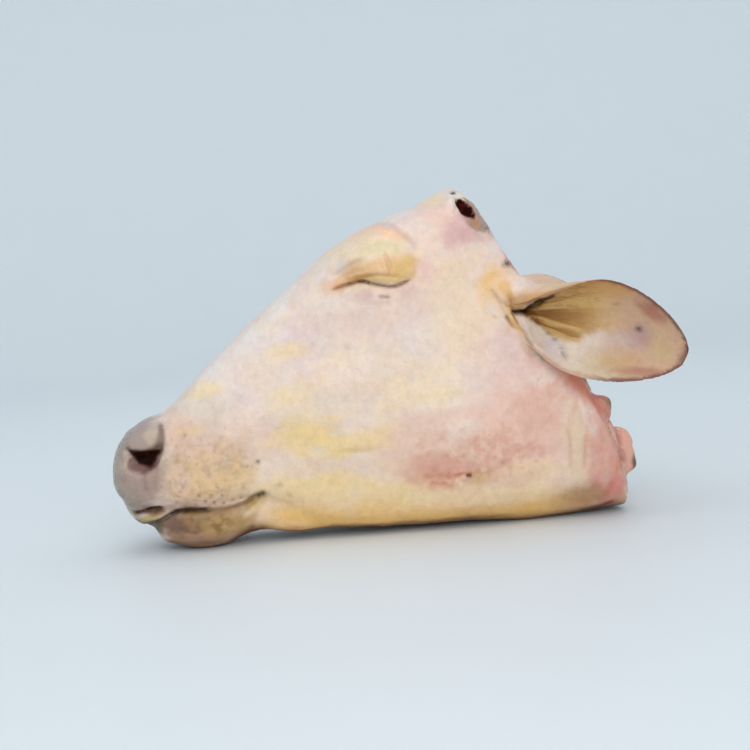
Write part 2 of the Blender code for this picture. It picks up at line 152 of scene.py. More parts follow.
def distance_to_path(flat, path):
    """Each point's distance to a path, and how far along the path the nearest place is."""
    path = np.array(path, float)
    best = np.full(len(flat), np.inf)
    along = np.zeros(len(flat))
    for i, (start, end) in enumerate(zip(path, path[1:])):
        run = end - start
        t = np.clip((flat - start) @ run / (run @ run), 0, 1)
        away = np.linalg.norm(flat - (start + t[:, None] * run), axis=1)
        nearer = away < best
        best[nearer] = away[nearer]
        along[nearer] = i + t[nearer]
    return best, along / (len(path) - 1)


def oval_distance(flat, at, reach, lean):
    """Distance from the middle of an oval, 1 on its edge. Lean turns it, in degrees."""
    angle = math.radians(lean)
    turn = np.array([[math.cos(angle), -math.sin(angle)], [math.sin(angle), math.cos(angle)]])
    return np.linalg.norm((flat - np.array(at, float)) @ turn / np.array(reach, float), axis=1)


def spot_distance(flat, at, radius):
    """Distance from the middle of a round spot, 1 on its edge."""
    return np.linalg.norm(flat - np.array(at), axis=1) / radius


def read_off(curve, first):
    """What comes second on a curve, given as pairs, for each value of what comes first."""
    return np.interp(first, *np.array(curve, float).T)


# Meshes as arrays of millimetres


def ring_pairs(count):
    """Each place on a ring with the next one, and the last with the first."""
    return [(j, (j + 1) % count) for j in range(count)]


def read(mesh, attribute):
    """A mesh's vertex positions in millimetres, or its normals."""
    values = np.empty(len(mesh.vertices) * 3, np.float32)
    mesh.vertices.foreach_get(attribute, values)
    return values.reshape(-1, 3).astype(float) / (MM if attribute == "co" else 1)


def write(mesh, points):
    """Moves a mesh's vertices to points in millimetres."""
    mesh.vertices.foreach_set("co", (points * MM).astype(np.float32).ravel())
    mesh.update()


def to_left(vectors):
    """Points or directions with the right side folded onto the left."""
    return np.column_stack([vectors[:, 0], -np.abs(vectors[:, 1]), vectors[:, 2]])


def flip_of(points):
    """Signs that bring a way on the left side over to each point's own side."""
    side = np.where(points[:, 1] > 0, -1.0, 1.0)
    return np.column_stack([np.ones_like(side), side, np.ones_like(side)])


def normals_to_left(points, normals):
    """Normals with those of the right side folded onto the left."""
    return normals * flip_of(points)


def new_piece(name, mesh, materials):
    """Links a piece made of a mesh, with its body and its slot set."""
    piece = bpy.data.objects.new(name, mesh)
    bpy.context.scene.collection.objects.link(piece)
    mesh.materials.clear()
    for material in materials:
        mesh.materials.append(material)
    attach(piece, BODY)
    return piece


def mesh_from(name, vertices, faces):
    """A smooth mesh from vertices in millimetres."""
    mesh = bpy.data.meshes.new(name)
    mesh.from_pydata((np.asarray(vertices) * MM).tolist(), [], faces)
    mesh.validate()
    mesh.shade_smooth()
    return mesh


def change_mesh(mesh, change):
    """Lets a function work on a mesh's vertices, edges and faces."""
    bm = bmesh.new()
    bm.from_mesh(mesh)
    change(bm)
    bm.to_mesh(mesh)
    bm.free()


def surface_tree(mesh):
    """A mesh's faces, sorted so that the nearest place on them is found fast."""
    return BVHTree.FromPolygons([v.co for v in mesh.vertices], [p.vertices for p in mesh.polygons])


def apply_modifiers(obj):
    """Replaces an object's mesh by what its modifiers make of it."""
    graph = bpy.context.evaluated_depsgraph_get()
    mesh = bpy.data.meshes.new_from_object(obj.evaluated_get(graph))
    obj.modifiers.clear()
    obj.data = mesh


def set_colours(mesh, name, colours):
    """Stores a linear colour for each vertex."""
    layer = mesh.color_attributes.new(name, "FLOAT_COLOR", "POINT")
    rgba = np.column_stack([colours, np.ones(len(colours))]).astype(np.float32)
    layer.data.foreach_set("color", rgba.ravel())


def set_values(mesh, name, values):
    """Stores a number for each vertex."""
    layer = mesh.attributes.new(name, "FLOAT", "POINT")
    layer.data.foreach_set("value", values.astype(np.float32))


# The ear's chart: which place of the ear a point of the skin belongs to

# Base to tip: the deepest line of the trough, half the width of the gristle from edge to edge,
# how far it rolls round, how far its opening turns to the ground, and its thickness.
EAR = (
    {"at": (105, -40, 262), "half": 34, "roll": 158, "turn": 58, "thick": 16},
    {"at": (132, -61, 258), "half": 37, "roll": 156, "turn": 55, "thick": 14},
    {"at": (155, -81, 250), "half": 44, "roll": 134, "turn": 46, "thick": 11},
    {"at": (181, -98, 234), "half": 57, "roll": 88, "turn": 24, "thick": 7.5},
    {"at": (212, -112, 216), "half": 63, "roll": 60, "turn": 8, "thick": 5.5},
    {"at": (245, -128, 200), "half": 55, "roll": 46, "turn": 2, "thick": 5},
    {"at": (273, -143, 186), "half": 39, "roll": 36, "turn": 0, "thick": 4.6},
    {"at": (289, -153, 177), "half": 23, "roll": 26, "turn": 0, "thick": 4.4},
    {"at": (297, -158, 172), "half": 7, "roll": 16, "turn": 0, "thick": 4},
)
# The chart's rows and columns, where the ears start, and the distances from their surface within
# which a point is all ear, and beyond which it is none.
CHART_ROWS = 150
CHART_COLUMNS = 91
EAR_STARTS_X = 92
EAR_NEAR = 2.5
EAR_FAR = 6.5


def unit(vectors):
    """Vectors of length one."""
    return vectors / np.linalg.norm(vectors, axis=-1, keepdims=True)


def ear_chart():
    """Points in the middle of the left ear's gristle, with the ways out of it there."""
    table = [[*row["at"], row["half"], row["roll"], row["turn"], row["thick"]] for row in EAR]
    table = np.array(table, float)
    run = np.concatenate([[0], np.cumsum(np.linalg.norm(np.diff(table[:, :3], axis=0), axis=1))])
    rows = np.linspace(0, run[-1], CHART_ROWS)
    measures = np.column_stack([np.interp(rows, run, column) for column in table.T])
    tangent = unit(np.gradient(measures[:, :3], axis=0))
    up = unit(np.array([0, 0, 1]) - tangent[:, 2:] * tangent)
    out = np.cross(tangent, up)
    half, roll, turn, thick = measures[:, 3], *np.radians(measures[:, 4:6].T), measures[:, 6]
    cos_turn, sin_turn = np.cos(turn)[:, None], np.sin(turn)[:, None]
    opening = out * cos_turn - up * sin_turn
    wide = up * cos_turn + out * sin_turn
    across = np.linspace(-1, 1, CHART_COLUMNS)
    angle = (roll[:, None] * across)[..., None]
    wide, opening, tangent = wide[:, None], opening[:, None], tangent[:, None]
    radius = (half / roll)[:, None, None]
    away = wide * np.sin(angle) - opening * np.cos(angle)
    middle = measures[:, None, :3] + radius * (wide * np.sin(angle) + opening * (1 - np.cos(angle)))
    middle = middle + away * thick[:, None, None] / 2
    edgeward = (wide * np.cos(angle) + opening * np.sin(angle)) * np.sign(across)[None, :, None]
    shape = (CHART_ROWS, CHART_COLUMNS)
    return {
        "point": middle.reshape(-1, 3),
        "inward": -away.reshape(-1, 3),
        "edgeward": edgeward.reshape(-1, 3),
        "tipward": np.broadcast_to(tangent, (*shape, 3)).reshape(-1, 3),
        "along": np.broadcast_to((rows / run[-1])[:, None], shape).ravel(),
        "across": np.broadcast_to(across, shape).ravel(),
        "thick": np.broadcast_to(thick[:, None], shape).ravel(),
    }


def find_on_ear(chart, left, normals):
    """For each point: how much it is of the ear, whether it is on the inner side, and its place."""
    tree = KDTree(len(chart["point"]))
    for i, point in enumerate(chart["point"]):
        tree.insert(point, i)
    tree.balance()
    place = np.zeros(len(left), int)
    away = np.full(len(left), np.inf)
    for i in np.nonzero(left[:, 0] > EAR_STARTS_X)[0]:
        _, place[i], away[i] = tree.find(left[i])
    beyond = away - chart["thick"][place] / 2
    on_ear = ease(beyond, EAR_FAR, EAR_NEAR)
    facing = np.sum(normals * chart["inward"][place], axis=1)
    return {
        "on": on_ear,
        "inner": on_ear * ease(facing, -0.1, 0.35),
        "place": place,
        "along": chart["along"][place],
        "across": chart["across"][place],
    }


# Coarse shape: what is moved before the fine mesh is made

# The left horn: middle of its sawn end, the way out along it, and its radius.
HORN_END = np.array([100.0, -67.0, 335.0])
HORN_AXIS = np.array([0.77, -0.34, 0.54])
HORN_RADIUS = 31
# Bone that fills the horn stub's hollow, as rings: how far out along the horn, and radius.
BONE_PLUG = ((-30, 17), (-28, 25), (-5, 25.5), (-2.5, 23.5), (-2, 12))
PLUG_SIDES = 24

# Soft pulls on whole forms of the left side: middle, reach and way in millimetres.
PULLS = {
    "roll hangs lower over the ear's root": ((155, -100, 247), 13, (0, -2.5, -12)),
    "skin in front of the ear's root sinks": ((134, -88, 222), 10, (0, 3.0, 0)),
    "jaw comes down behind the chin": ((-132, -40, 14), 24, (0, 0, -4)),
}
# The ears' rims: how far they grow out, from which share of the half width and of the length on,
# and how much of that the tip gets.
RIM_GROWTH = 2.4
RIM_FROM = 0.72
TIP_FROM = 0.93
TIP_SHARE = 0.4
# Corners of the solid nearer than this are one, and edges sharper than this stay sharp.
WELD = 0.02
SHARP = math.radians(50)


def across_axis(axis):
    """Two directions square to an axis and to each other."""
    first = unit(np.cross(axis, [0, 0, 1.0]))
    return first, np.cross(axis, first)


def add_bone_plugs(bm):
    """Adds a closed plug of bone to each horn stub."""
    axis = unit(HORN_AXIS)
    first, second = across_axis(axis)
    made = []
    for side in (-1, 1):
        rings = []
        for out, radius in BONE_PLUG:
            ring = []
            for j in range(PLUG_SIDES):
                angle = 2 * math.pi * j / PLUG_SIDES
                spot = HORN_END + axis * out
                spot = spot + radius * (first * math.cos(angle) + second * math.sin(angle))
                ring.append(bm.verts.new(Vector(spot * (1, -side, 1)) * MM))
            rings.append(ring)
        made.append(bm.faces.new(rings[0]))
        made.append(bm.faces.new(rings[-1]))
        for lower, upper in zip(rings, rings[1:]):
            for j, k in ring_pairs(PLUG_SIDES):
                made.append(bm.faces.new((lower[j], lower[k], upper[k], upper[j])))
    bmesh.ops.recalc_face_normals(bm, faces=made)


def pull_forms(mesh):
    """Pulls the soft forms into place and grows the ears' rims, which smoothing wears down."""
    points, normals = read(mesh, "co"), read(mesh, "normal")
    left = to_left(points)
    flip = flip_of(points)
    moved = np.zeros_like(points)
    for middle, reach, way in PULLS.values():
        near = bell(np.linalg.norm(left - np.array(middle, float), axis=1) / reach)
        moved += near[:, None] * np.array(way, float)
    chart = ear_chart()
    ear = find_on_ear(chart, left, normals_to_left(points, normals))
    rim = ease(np.abs(ear["across"]), RIM_FROM, 1) * ease(ear["along"], 0.25, 0.4)
    tip = ease(ear["along"], TIP_FROM, 1)
    grown = chart["edgeward"][ear["place"]] * rim[:, None]
    grown += chart["tipward"][ear["place"]] * (TIP_SHARE * tip)[:, None]
    moved += grown * (RIM_GROWTH * ear["on"])[:, None]
    write(mesh, points + flip * moved)


# Fine shape of the skin

# Paths of (x, z) in the side view that shape and colour share.
LID_GROOVE = ((-30, 279), (-18, 280.5), (-4, 281), (8, 279), (17, 277.5))
LID_CROSSING = ((2, 304), (5, 296), (7, 288), (8, 280))
EAR_BORDER = ((139, 227), (142, 220), (145, 208), (149, 197), (156, 186), (164, 178))
FLAP_ROOT = ((243, 96), (244, 82), (243, 66), (244, 48))
LOW_SCRATCH = ((33, 54.5), (42, 54), (50, 53), (61, 49))
HIGH_SCRATCH = ((27, 64), (39, 62.5), (54, 62))

# Creases and ridges: width, depth, which is negative for a ridge, how high the banks stand, how far
# out from the head's middle they start, and path.
CREASES = {
    "front of the eye slit": (1.5, 2.2, 0.6, 50,
        ((-50, 269), (-40, 272), (-31, 274), (-23, 276), (-17, 275.5)),
    ),
    "eye slit": (1.5, 2.8, 0.5, 50,
        ((-25, 275.5), (-18, 275), (-11, 272), (-3, 270), (6, 268), (12, 268), (19, 270),
         (27, 273)),
    ),
    "groove over the lid's rim": (1.9, 0.9, 0.3, 50, LID_GROOVE),
    "rim of the lower lid": (2.2, -0.8, 0, 50,
        ((-24, 271), (-8, 266), (4, 264), (16, 265), (26, 268.5)),
    ),
    "dash under the lower lid": (1.5, 1.0, 0.3, 50, ((-8, 258.5), (-3, 258), (6, 257))),
    "second fold under the eye": (3.0, 0.8, 0.2, 50,
        ((-46, 260), (-30, 253), (-12, 250), (8, 250)),
    ),
    "fold of the upper lid": (2.3, 1.7, 0.6, 50,
        ((-52, 281), (-43, 287), (-35, 292), (-28, 296), (-20, 299)),
    ),
    "lower fold of the upper lid": (2.0, 1.0, 0.4, 50,
        ((-47, 278), (-38, 283), (-28, 286), (-17, 287)),
    ),
    "fold across the upper lid": (2.1, 1.5, 0.7, 50, LID_CROSSING),
    "edge of the lid's bulge": (3.0, 0.7, 0.3, 50, ((33, 298), (36, 290), (36, 281), (31, 274))),
    "brow fold": (2.8, 0.9, 0.3, 50,
        ((-24, 329), (-14, 333), (-3, 335), (6, 334), (14, 332), (19, 327), (26, 320), (32, 314),
         (38, 305)),
    ),
    "mouth": (1.9, 3.0, 0.5, 0,
        ((-270, 29), (-255, 36), (-243, 42), (-234, 46), (-221, 47.5), (-211, 46.6),
         (-198, 45.5), (-185, 45.5), (-172, 47), (-160, 50), (-150, 55), (-143, 60)),
    ),
    "soft end of the mouth": (2.8, -3.2, 0, 20,
        ((-203, 46), (-192, 45.5), (-180, 46), (-168, 48), (-156, 52)),
    ),
    "gap above the tongue": (2.0, 3.6, 0.3, 0,
        ((-284, 46), (-275, 47), (-262, 48.8), (-252, 50.5)),
    ),
    "pleat at the mouth's corner": (2.2, 1.2, 0.3, 20,
        ((-143, 58), (-148, 50), (-156, 42), (-166, 36)),
    ),
    "groove under the nostril": (2.6, 1.4, 0.3, 24,
        ((-265, 97), (-266, 86), (-266, 76), (-263, 64)),
    ),
    "edge of the upper lip": (3.4, 0.8, 0.3, 0, ((-292, 58), (-276, 58), (-256, 59), (-236, 57))),
    "wing behind the nostril": (4.5, -1.0, 0, 24, ((-244, 100), (-238, 112), (-236, 128))),
    "first fold at the ear's base": (2.5, 2.8, 0.9, 40,
        ((113, 258), (118, 248), (122, 238), (127, 226), (133, 217), (143, 212)),
    ),
    "second fold at the ear's base": (2.0, 2.4, 0.7, 40,
        ((128, 252), (132, 242), (134, 234), (136, 226), (141, 214)),
    ),
    "third fold at the ear's base": (3.0, 1.1, 0.4, 40,
        ((104, 246), (107, 236), (113, 226), (122, 217), (132, 208)),
    ),
    "crease under the ear's roll": (3.4, 9.0, 0, 60,
        ((132, 231), (138, 231), (146, 231), (153, 231.5), (160, 234.5), (168, 240)),
    ),
    "border of the ear on the head": (2.0, 2.2, 0.7, 60, EAR_BORDER),
    "cut in the cheek": (1.8, 1.4, 0.5, 60, ((60, 61), (69, 62), (74, 61.5), (79, 62))),
    "scratch in the cheek": (2.4, 0.35, 0.1, 60, HIGH_SCRATCH),
    "lower scratch in the cheek": (2.4, 0.35, 0.1, 60, LOW_SCRATCH),
    "root of the flap": (2.0, 2.0, 0.4, 20, FLAP_ROOT),
}
# How fast a crease deepens from its ends, and the share of its depth that it starts with.
CREASE_FADE = 6
CREASE_END_DEPTH = 0.2
# How far from a crease its banks stand, and how wide they are, in widths of the crease.
BANK_AWAY = 2.2
BANK_WIDTH = 1.3

# Loose skin in folds that run down behind the jaw, as (x, z) paths.
SLACK_FOLDS = (
    ((196, 140), (201, 110), (204, 80), (203, 52)),
    ((208, 128), (212, 100), (214, 72), (213, 48)),
    ((184, 120), (188, 94), (189, 70)),
    ((222, 104), (224, 80), (223, 50)),
)
SLACK_FOLD_WIDTH = 3.0
SLACK_FOLD_DEPTH = 0.9

# Slack of the skin: size of its lumps and their height.
SLACK = ((34, 0.9), (13, 0.42), (5.5, 0.18))
# Lumpy fat under the cheek: middle, reach, size of the lumps and their height.
LUMPY_CHEEK = {"at": (112, 76), "reach": (48, 36), "size": 7.0, "height": 0.75}

# Whisker roots on the upper lip and the chin: middle, half extent, spacing, and a root's radius and
# height.
WHISKER_FIELDS = {
    "upper lip": {"at": (-200, 86), "half": (50, 38), "spacing": 9.5, "root": 2.0, "height": 0.5},
    "chin": {"at": (-212, 25), "half": (34, 13), "spacing": 10, "root": 1.9, "height": 0.35},
}
# How far a root strays and how near its rows stand, in spacings, and how wide and deep its pit is.
WHISKER_JITTER = 0.28
WHISKER_ROWS = 0.8
ROOT_PIT_WIDTH = 0.4
ROOT_PIT_DEPTH = 0.9
WHISKER_SEED = 11
# Roots that show dark, over the mouth: (x, z) and how dark.
DARK_ROOTS = (
    (-210, 64, 0.8), (-204, 56, 0.9), (-195, 53, 0.75), (-186, 61, 0.7), (-185, 51, 0.8),
    (-166, 56, 0.65), (-197, 62, 0.5), (-217, 70, 0.45), (-175, 54, 0.5), (-163, 92, 0.4),
    (-226, 75, 0.4), (-190, 70, 0.45),
)

# Small raised spots of fat under the skin of the cheek: (x, z), radius and height.
CHEEK_PIMPLES = (
    ((94, 94), 5.0, 0.84), ((102, 74), 5.0, 0.78), ((89, 106), 3.2, 0.48), ((109, 82), 2.8, 0.48),
    ((92, 58), 3.2, 0.48), ((126, 57), 3.6, 0.54), ((129, 47), 3.2, 0.42), ((113, 64), 2.8, 0.42),
    ((122, 92), 3.0, 0.36), ((80, 84), 3.0, 0.36),
)

# The ear's inner side fans out from its crease, seen from the side.
# Its ridges stand so many degrees apart, reach so far and rise so high.
FAN_MIDDLE = (128, 231)
FAN_SPACING = 4.6
FAN_REACH = 104
FAN_HEIGHT = 1.3
# Length of a ridge, how much finer the small ridges are each way and how strong, and how clearly
# ridges and grooves part.
RIDGE_LENGTH = 34
SMALL_RIDGES = (2.3, 2.0, 1)
SMALL_RIDGE_SHARE = 0.6
RIDGE_CONTRAST = 1.3
# The trough's root, where head and ear join: the line in front of it as (z, x), and the edge of the
# roll over it as (x, z).
ROOT_LINE = ((186, 155), (197, 148), (208, 144), (219, 140), (230, 134), (240, 131))
ROLL_EDGE = ((120, 231), (137, 232), (148, 232), (157, 236), (169, 243), (183, 249), (204, 260))
ROOT_END_X = 186

# The opening in the sawn horn, seen from the side: middle, reach, lean, and way that it goes in.
HORN_OPENING = {"at": (96, 343), "reach": (7.0, 13), "lean": 36, "way": (-0.45, 0.8, -0.4)}
HORN_OPENING_DEPTH = 15
BONE_ROUGHNESS = 1.3
# How much, and how many times, the even mesh is smoothed before it is sculpted.
SMOOTHING = 0.5
SMOOTHING_ROUNDS = 8

# Where the mesh stays as fine as it was sculpted: near each thin painted line, and in these ovals of
# (x, z), given by middle, reach, and how far out from the head's middle they start.
THIN_BAND = 3.0
FINE_BY_LINES = 4.5
FINE_PLACES = (
    ((-8, 280), (46, 18), 50), ((-204, 60), (38, 15), 30), ((98, 341), (17, 19), 40),
    ((68, 60), (28, 12), 60), ((158, 222), (34, 30), 70), ((-263, 108), (20, 16), 20),
    ((-145, 97), (6, 6), 40), ((-143, 61), (8, 6), 30), ((258, 70), (12, 24), 0),
)


def whisker_roots(field):
    """Places of the whisker roots of one field on uneven staggered rows, and how they show."""
    rng = np.random.default_rng(WHISKER_SEED)
    (x, z), (half_x, half_z), spacing = field["at"], field["half"], field["spacing"]
    roots = []
    for j, v in enumerate(np.arange(-half_z, half_z + 1, spacing * WHISKER_ROWS)):
        for u in np.arange(-half_x, half_x + 1, spacing) + (j % 2) * spacing / 2:
            du, dv = rng.normal(0, spacing * WHISKER_JITTER, 2)
            shows = rng.uniform(0.1, 1.0)
            if math.hypot((u + du) / half_x, (v + dv) / half_z) < 1.05:
                roots.append((x + u + du, z + v + dv, shows))
    return np.array(roots)


def nearest_root(flat, roots):
    """Each point's distance to the nearest root, and how much that one shows."""
    best = np.full(len(flat), np.inf)
    shows = np.zeros(len(flat))
    for x, z, show in roots:
        away = np.hypot(flat[:, 0] - x, flat[:, 1] - z)
        nearer = away < best
        best[nearer] = away[nearer]
        shows[nearer] = show
    return best, shows


def press_creases(points, normals, flat, sideways):
    """Presses the fine creases and folds into both sides."""
    moved = np.zeros(len(points))
    for width, depth, lip, inner, path in CREASES.values():
        away, along = distance_to_path(flat, path)
        fade = np.clip(CREASE_FADE * np.minimum(along, 1 - along) + CREASE_END_DEPTH, 0, 1)
        reached = (np.abs(points[:, 1]) >= inner) * sideways
        groove = depth * bell(away / width)
        bank = lip * bell((away - BANK_AWAY * width) / (BANK_WIDTH * width))
        moved += fade * reached * (bank - groove)
    for path in SLACK_FOLDS:
        away, along = distance_to_path(flat, path)
        fade = np.clip(CREASE_FADE * np.minimum(along, 1 - along), 0, 1)
        moved -= fade * sideways * SLACK_FOLD_DEPTH * bell(away / SLACK_FOLD_WIDTH)
    return points + normals * moved[:, None]


def raise_spots(points, normals, flat, sideways):
    """Raises the whisker roots, the spots of fat and the lumps of the cheek."""
    lift = np.zeros(len(points))
    for field in WHISKER_FIELDS.values():
        near, shows = nearest_root(flat, whisker_roots(field))
        pit = ROOT_PIT_DEPTH * bell(near / (ROOT_PIT_WIDTH * field["root"]))
        lift += field["height"] * shows * (bell(near / field["root"]) - pit)
    for at, radius, height in CHEEK_PIMPLES:
        lift += height * bell(spot_distance(flat, at, radius))
    cheek = ease(oval_distance(flat, LUMPY_CHEEK["at"], LUMPY_CHEEK["reach"], 0), 1.2, 0.4)
    lift += LUMPY_CHEEK["height"] * cheek * cloudy(points, LUMPY_CHEEK["size"], 12)
    return points + normals * (lift * sideways)[:, None]


def fan_of(flat):
    """Where a point lies in the fan of the ear: 1 on a ridge, -1 in a groove, and its reach."""
    from_crease = flat - np.array(FAN_MIDDLE, float)
    reach = np.linalg.norm(from_crease, axis=1)
    angle = np.degrees(np.arctan2(from_crease[:, 1], from_crease[:, 0]))
    spread = np.column_stack([angle / FAN_SPACING, reach / RIDGE_LENGTH, np.zeros(len(flat))])
    ridge = lumps(spread, 1.0, 5) + SMALL_RIDGE_SHARE * lumps(spread * SMALL_RIDGES, 1.0, 6)
    return np.clip(RIDGE_CONTRAST * ridge, -1, 1), reach


def root_border(flat):
    """The x of the line in front of the trough's root, and the height of the roll's edge."""
    return read_off(ROOT_LINE, flat[:, 1]), read_off(ROLL_EDGE, flat[:, 0])


def ear_root(left, folded):
    """How much a point belongs to the trough's root, between the roll's edge and the head."""
    flat = left[:, [0, 2]]
    front, under = root_border(flat)
    root = ease(flat[:, 0] - front, -0.5, 2.0) * ease(flat[:, 1] - under, 1.0, -1.0)
    root *= ease(flat[:, 0], ROOT_END_X + 6, ROOT_END_X) * ease(flat[:, 1], 178, 186)
    return root * ease(left[:, 1], -70, -76) * ease(folded[:, 1], 0.35, 0.05)


def survey(mesh):
    """Each point with its way out, both also folded to the left, and its place on the ear."""
    points, normals = read(mesh, "co"), read(mesh, "normal")
    left = to_left(points)
    folded = normals_to_left(points, normals)
    ear = find_on_ear(ear_chart(), left, folded)
    return points, normals, left, left[:, [0, 2]], folded, ear, ear_root(left, folded)


def shape_ears(points, normals, flat, inner, ear):
    """Raises the ridges inside the ears."""
    ridge, reach = fan_of(flat)
    strength = inner * ease(reach, 6, 26) * ease(reach, FAN_REACH, 40)
    strength *= ease(ear["across"], -0.75, -0.2) * ease(np.abs(ear["across"]), 1, 0.85)
    return points + normals * (FAN_HEIGHT * strength * ridge)[:, None]


def horn_place(left):
    """How far each point is out along the horn from its sawn end, and away from its axis."""
    axis = unit(HORN_AXIS)
    out = (left - HORN_END) @ axis
    return out, np.linalg.norm(left - HORN_END - out[:, None] * axis, axis=1)


def horn_opening(left, flat):
    """How much a point lies in the opening of the sawn horn."""
    out, radial = horn_place(left)
    on_end = ease(out, -12, -7) * ease(radial, HORN_RADIUS + 4, HORN_RADIUS)
    away = oval_distance(flat, HORN_OPENING["at"], HORN_OPENING["reach"], HORN_OPENING["lean"])
    ragged = away + 0.3 * lumps(left, 7, 61)
    return on_end * ease(ragged, 1.2, 0.6)


def shape_horns(points, left, flat):
    """Roughens the bone of the sawn horns and opens the sinus in it."""
    out, radial = horn_place(left)
    on_end = ease(out, -8, -5) * ease(radial, HORN_RADIUS - 1, HORN_RADIUS - 7)
    rough = BONE_ROUGHNESS * on_end * cloudy(left, 5.5, 63)
    moved = rough[:, None] * unit(HORN_AXIS)
    depth = HORN_OPENING_DEPTH * horn_opening(left, flat)
    moved = moved + depth[:, None] * unit(np.array(HORN_OPENING["way"]))
    return points + flip_of(points) * moved


def sculpt(mesh):
    """Works the fine shape into the dense head."""
    points, normals, left, flat, folded, ear, root = survey(mesh)
    points = shape_ears(points, normals, flat, np.maximum(ear["inner"], root), ear)
    points = shape_horns(points, left, flat)
    resting = ease(points[:, 2], 1, 7)
    off_cut = 1 - ease(folded[:, 0], 0.55, 0.8)
    on_head = (1 - ear["on"]) * (1 - root) * resting
    for i, (size, height) in enumerate(SLACK):
        amount = height * on_head * off_cut * lumps(points, size, 20 + i)
        points = points + normals * amount[:, None]
    sideways = ease(folded[:, 1], 0.05, -0.35) * (1 - ear["on"])
    front = ease(flat[:, 0], -235, -250)
    sideways = np.maximum(sideways, front * ease(folded[:, 0], 0.2, -0.2))
    sideways = np.maximum(sideways, root)
    points = press_creases(points, normals, flat, sideways * resting)
    write(mesh, points)
    points = raise_spots(points, read(mesh, "normal"), flat, sideways * resting * (1 - root))
    write(mesh, points)


def keep_fine(head):
    """Marks where the mesh may be thinned: everywhere but the fine places."""
    points = read(head.data, "co")
    left = to_left(points)
    flat = left[:, [0, 2]]
    fine = np.zeros(len(left), bool)
    for _, path, width, _ in BANDS:
        if width < THIN_BAND:
            away, _ = distance_to_path(flat, path)
            fine |= away < FINE_BY_LINES
    for at, reach, inner in FINE_PLACES:
        fine |= (oval_distance(flat, at, reach, 0) < 1) & (left[:, 1] < -inner)
    fine &= normals_to_left(points, read(head.data, "normal"))[:, 1] < 0.3
    group = head.vertex_groups.new(name="may be thinned")
    group.add(np.nonzero(~fine)[0].tolist(), 1.0, "REPLACE")
    return group.name


def inside_the_box(points):
    """Points kept inside the solid's own box."""
    low, high = (np.array(corner) / MM for corner in CAD_BOX)
    return np.clip(points, low, high)


def keep_largest_part(bm):
    """Removes the crumbs that stay shut up inside a mesh when it is fused."""
    unseen = set(bm.verts)
    parts = []
    while unseen:
        part = [unseen.pop()]
        for vert in part:
            around = {edge.other_vert(vert) for edge in vert.link_edges} & unseen
            unseen -= around
            part.extend(around)
        parts.append(part)
    parts.sort(key=len)
    crumbs = [vert for part in parts[:-1] for vert in part]
    bmesh.ops.delete(bm, geom=crumbs, context="VERTS")


def weld_and_mark(bm):
    """Joins the solid's faces and marks its sharp edges, so that rounding leaves them."""
    bmesh.ops.remove_doubles(bm, verts=bm.verts, dist=WELD * MM)
    crease = bm.edges.layers.float.new("crease_edge")
    for edge in bm.edges:
        edge[crease] = float(edge.calc_face_angle(0) > SHARP)


def dense_head(settings):
    """The head's solid as a fine and even mesh, thinned where it is smooth."""
    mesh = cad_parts[HEAD_NODE].data.copy()
    change_mesh(mesh, weld_and_mark)
    head = bpy.data.objects.new("dense_head", mesh)
    bpy.context.scene.collection.objects.link(head)
    rounder = head.modifiers.new("rounder", "SUBSURF")
    rounder.levels = rounder.render_levels = 1
    apply_modifiers(head)
    pull_forms(head.data)
    change_mesh(head.data, add_bone_plugs)
    fused = head.modifiers.new("fused", "REMESH")
    fused.mode = "VOXEL"
    fused.voxel_size = settings.grid
    softened = head.modifiers.new("softened", "SMOOTH")
    softened.factor = SMOOTHING
    softened.iterations = SMOOTHING_ROUNDS
    apply_modifiers(head)
    sculpt(head.data)
    thinner = head.modifiers.new("thinner", "DECIMATE")
    thinner.vertex_group = keep_fine(head)
    thinner.ratio = settings.triangles / (2 * len(head.data.polygons))
    thinner.use_collapse_triangulate = True
    apply_modifiers(head)
    mesh = head.data
    bpy.data.objects.remove(head, do_unlink=True)
    change_mesh(mesh, keep_largest_part)
    write(mesh, inside_the_box(read(mesh, "co")))
    mesh.shade_smooth()
    return mesh


# Colours of the skin

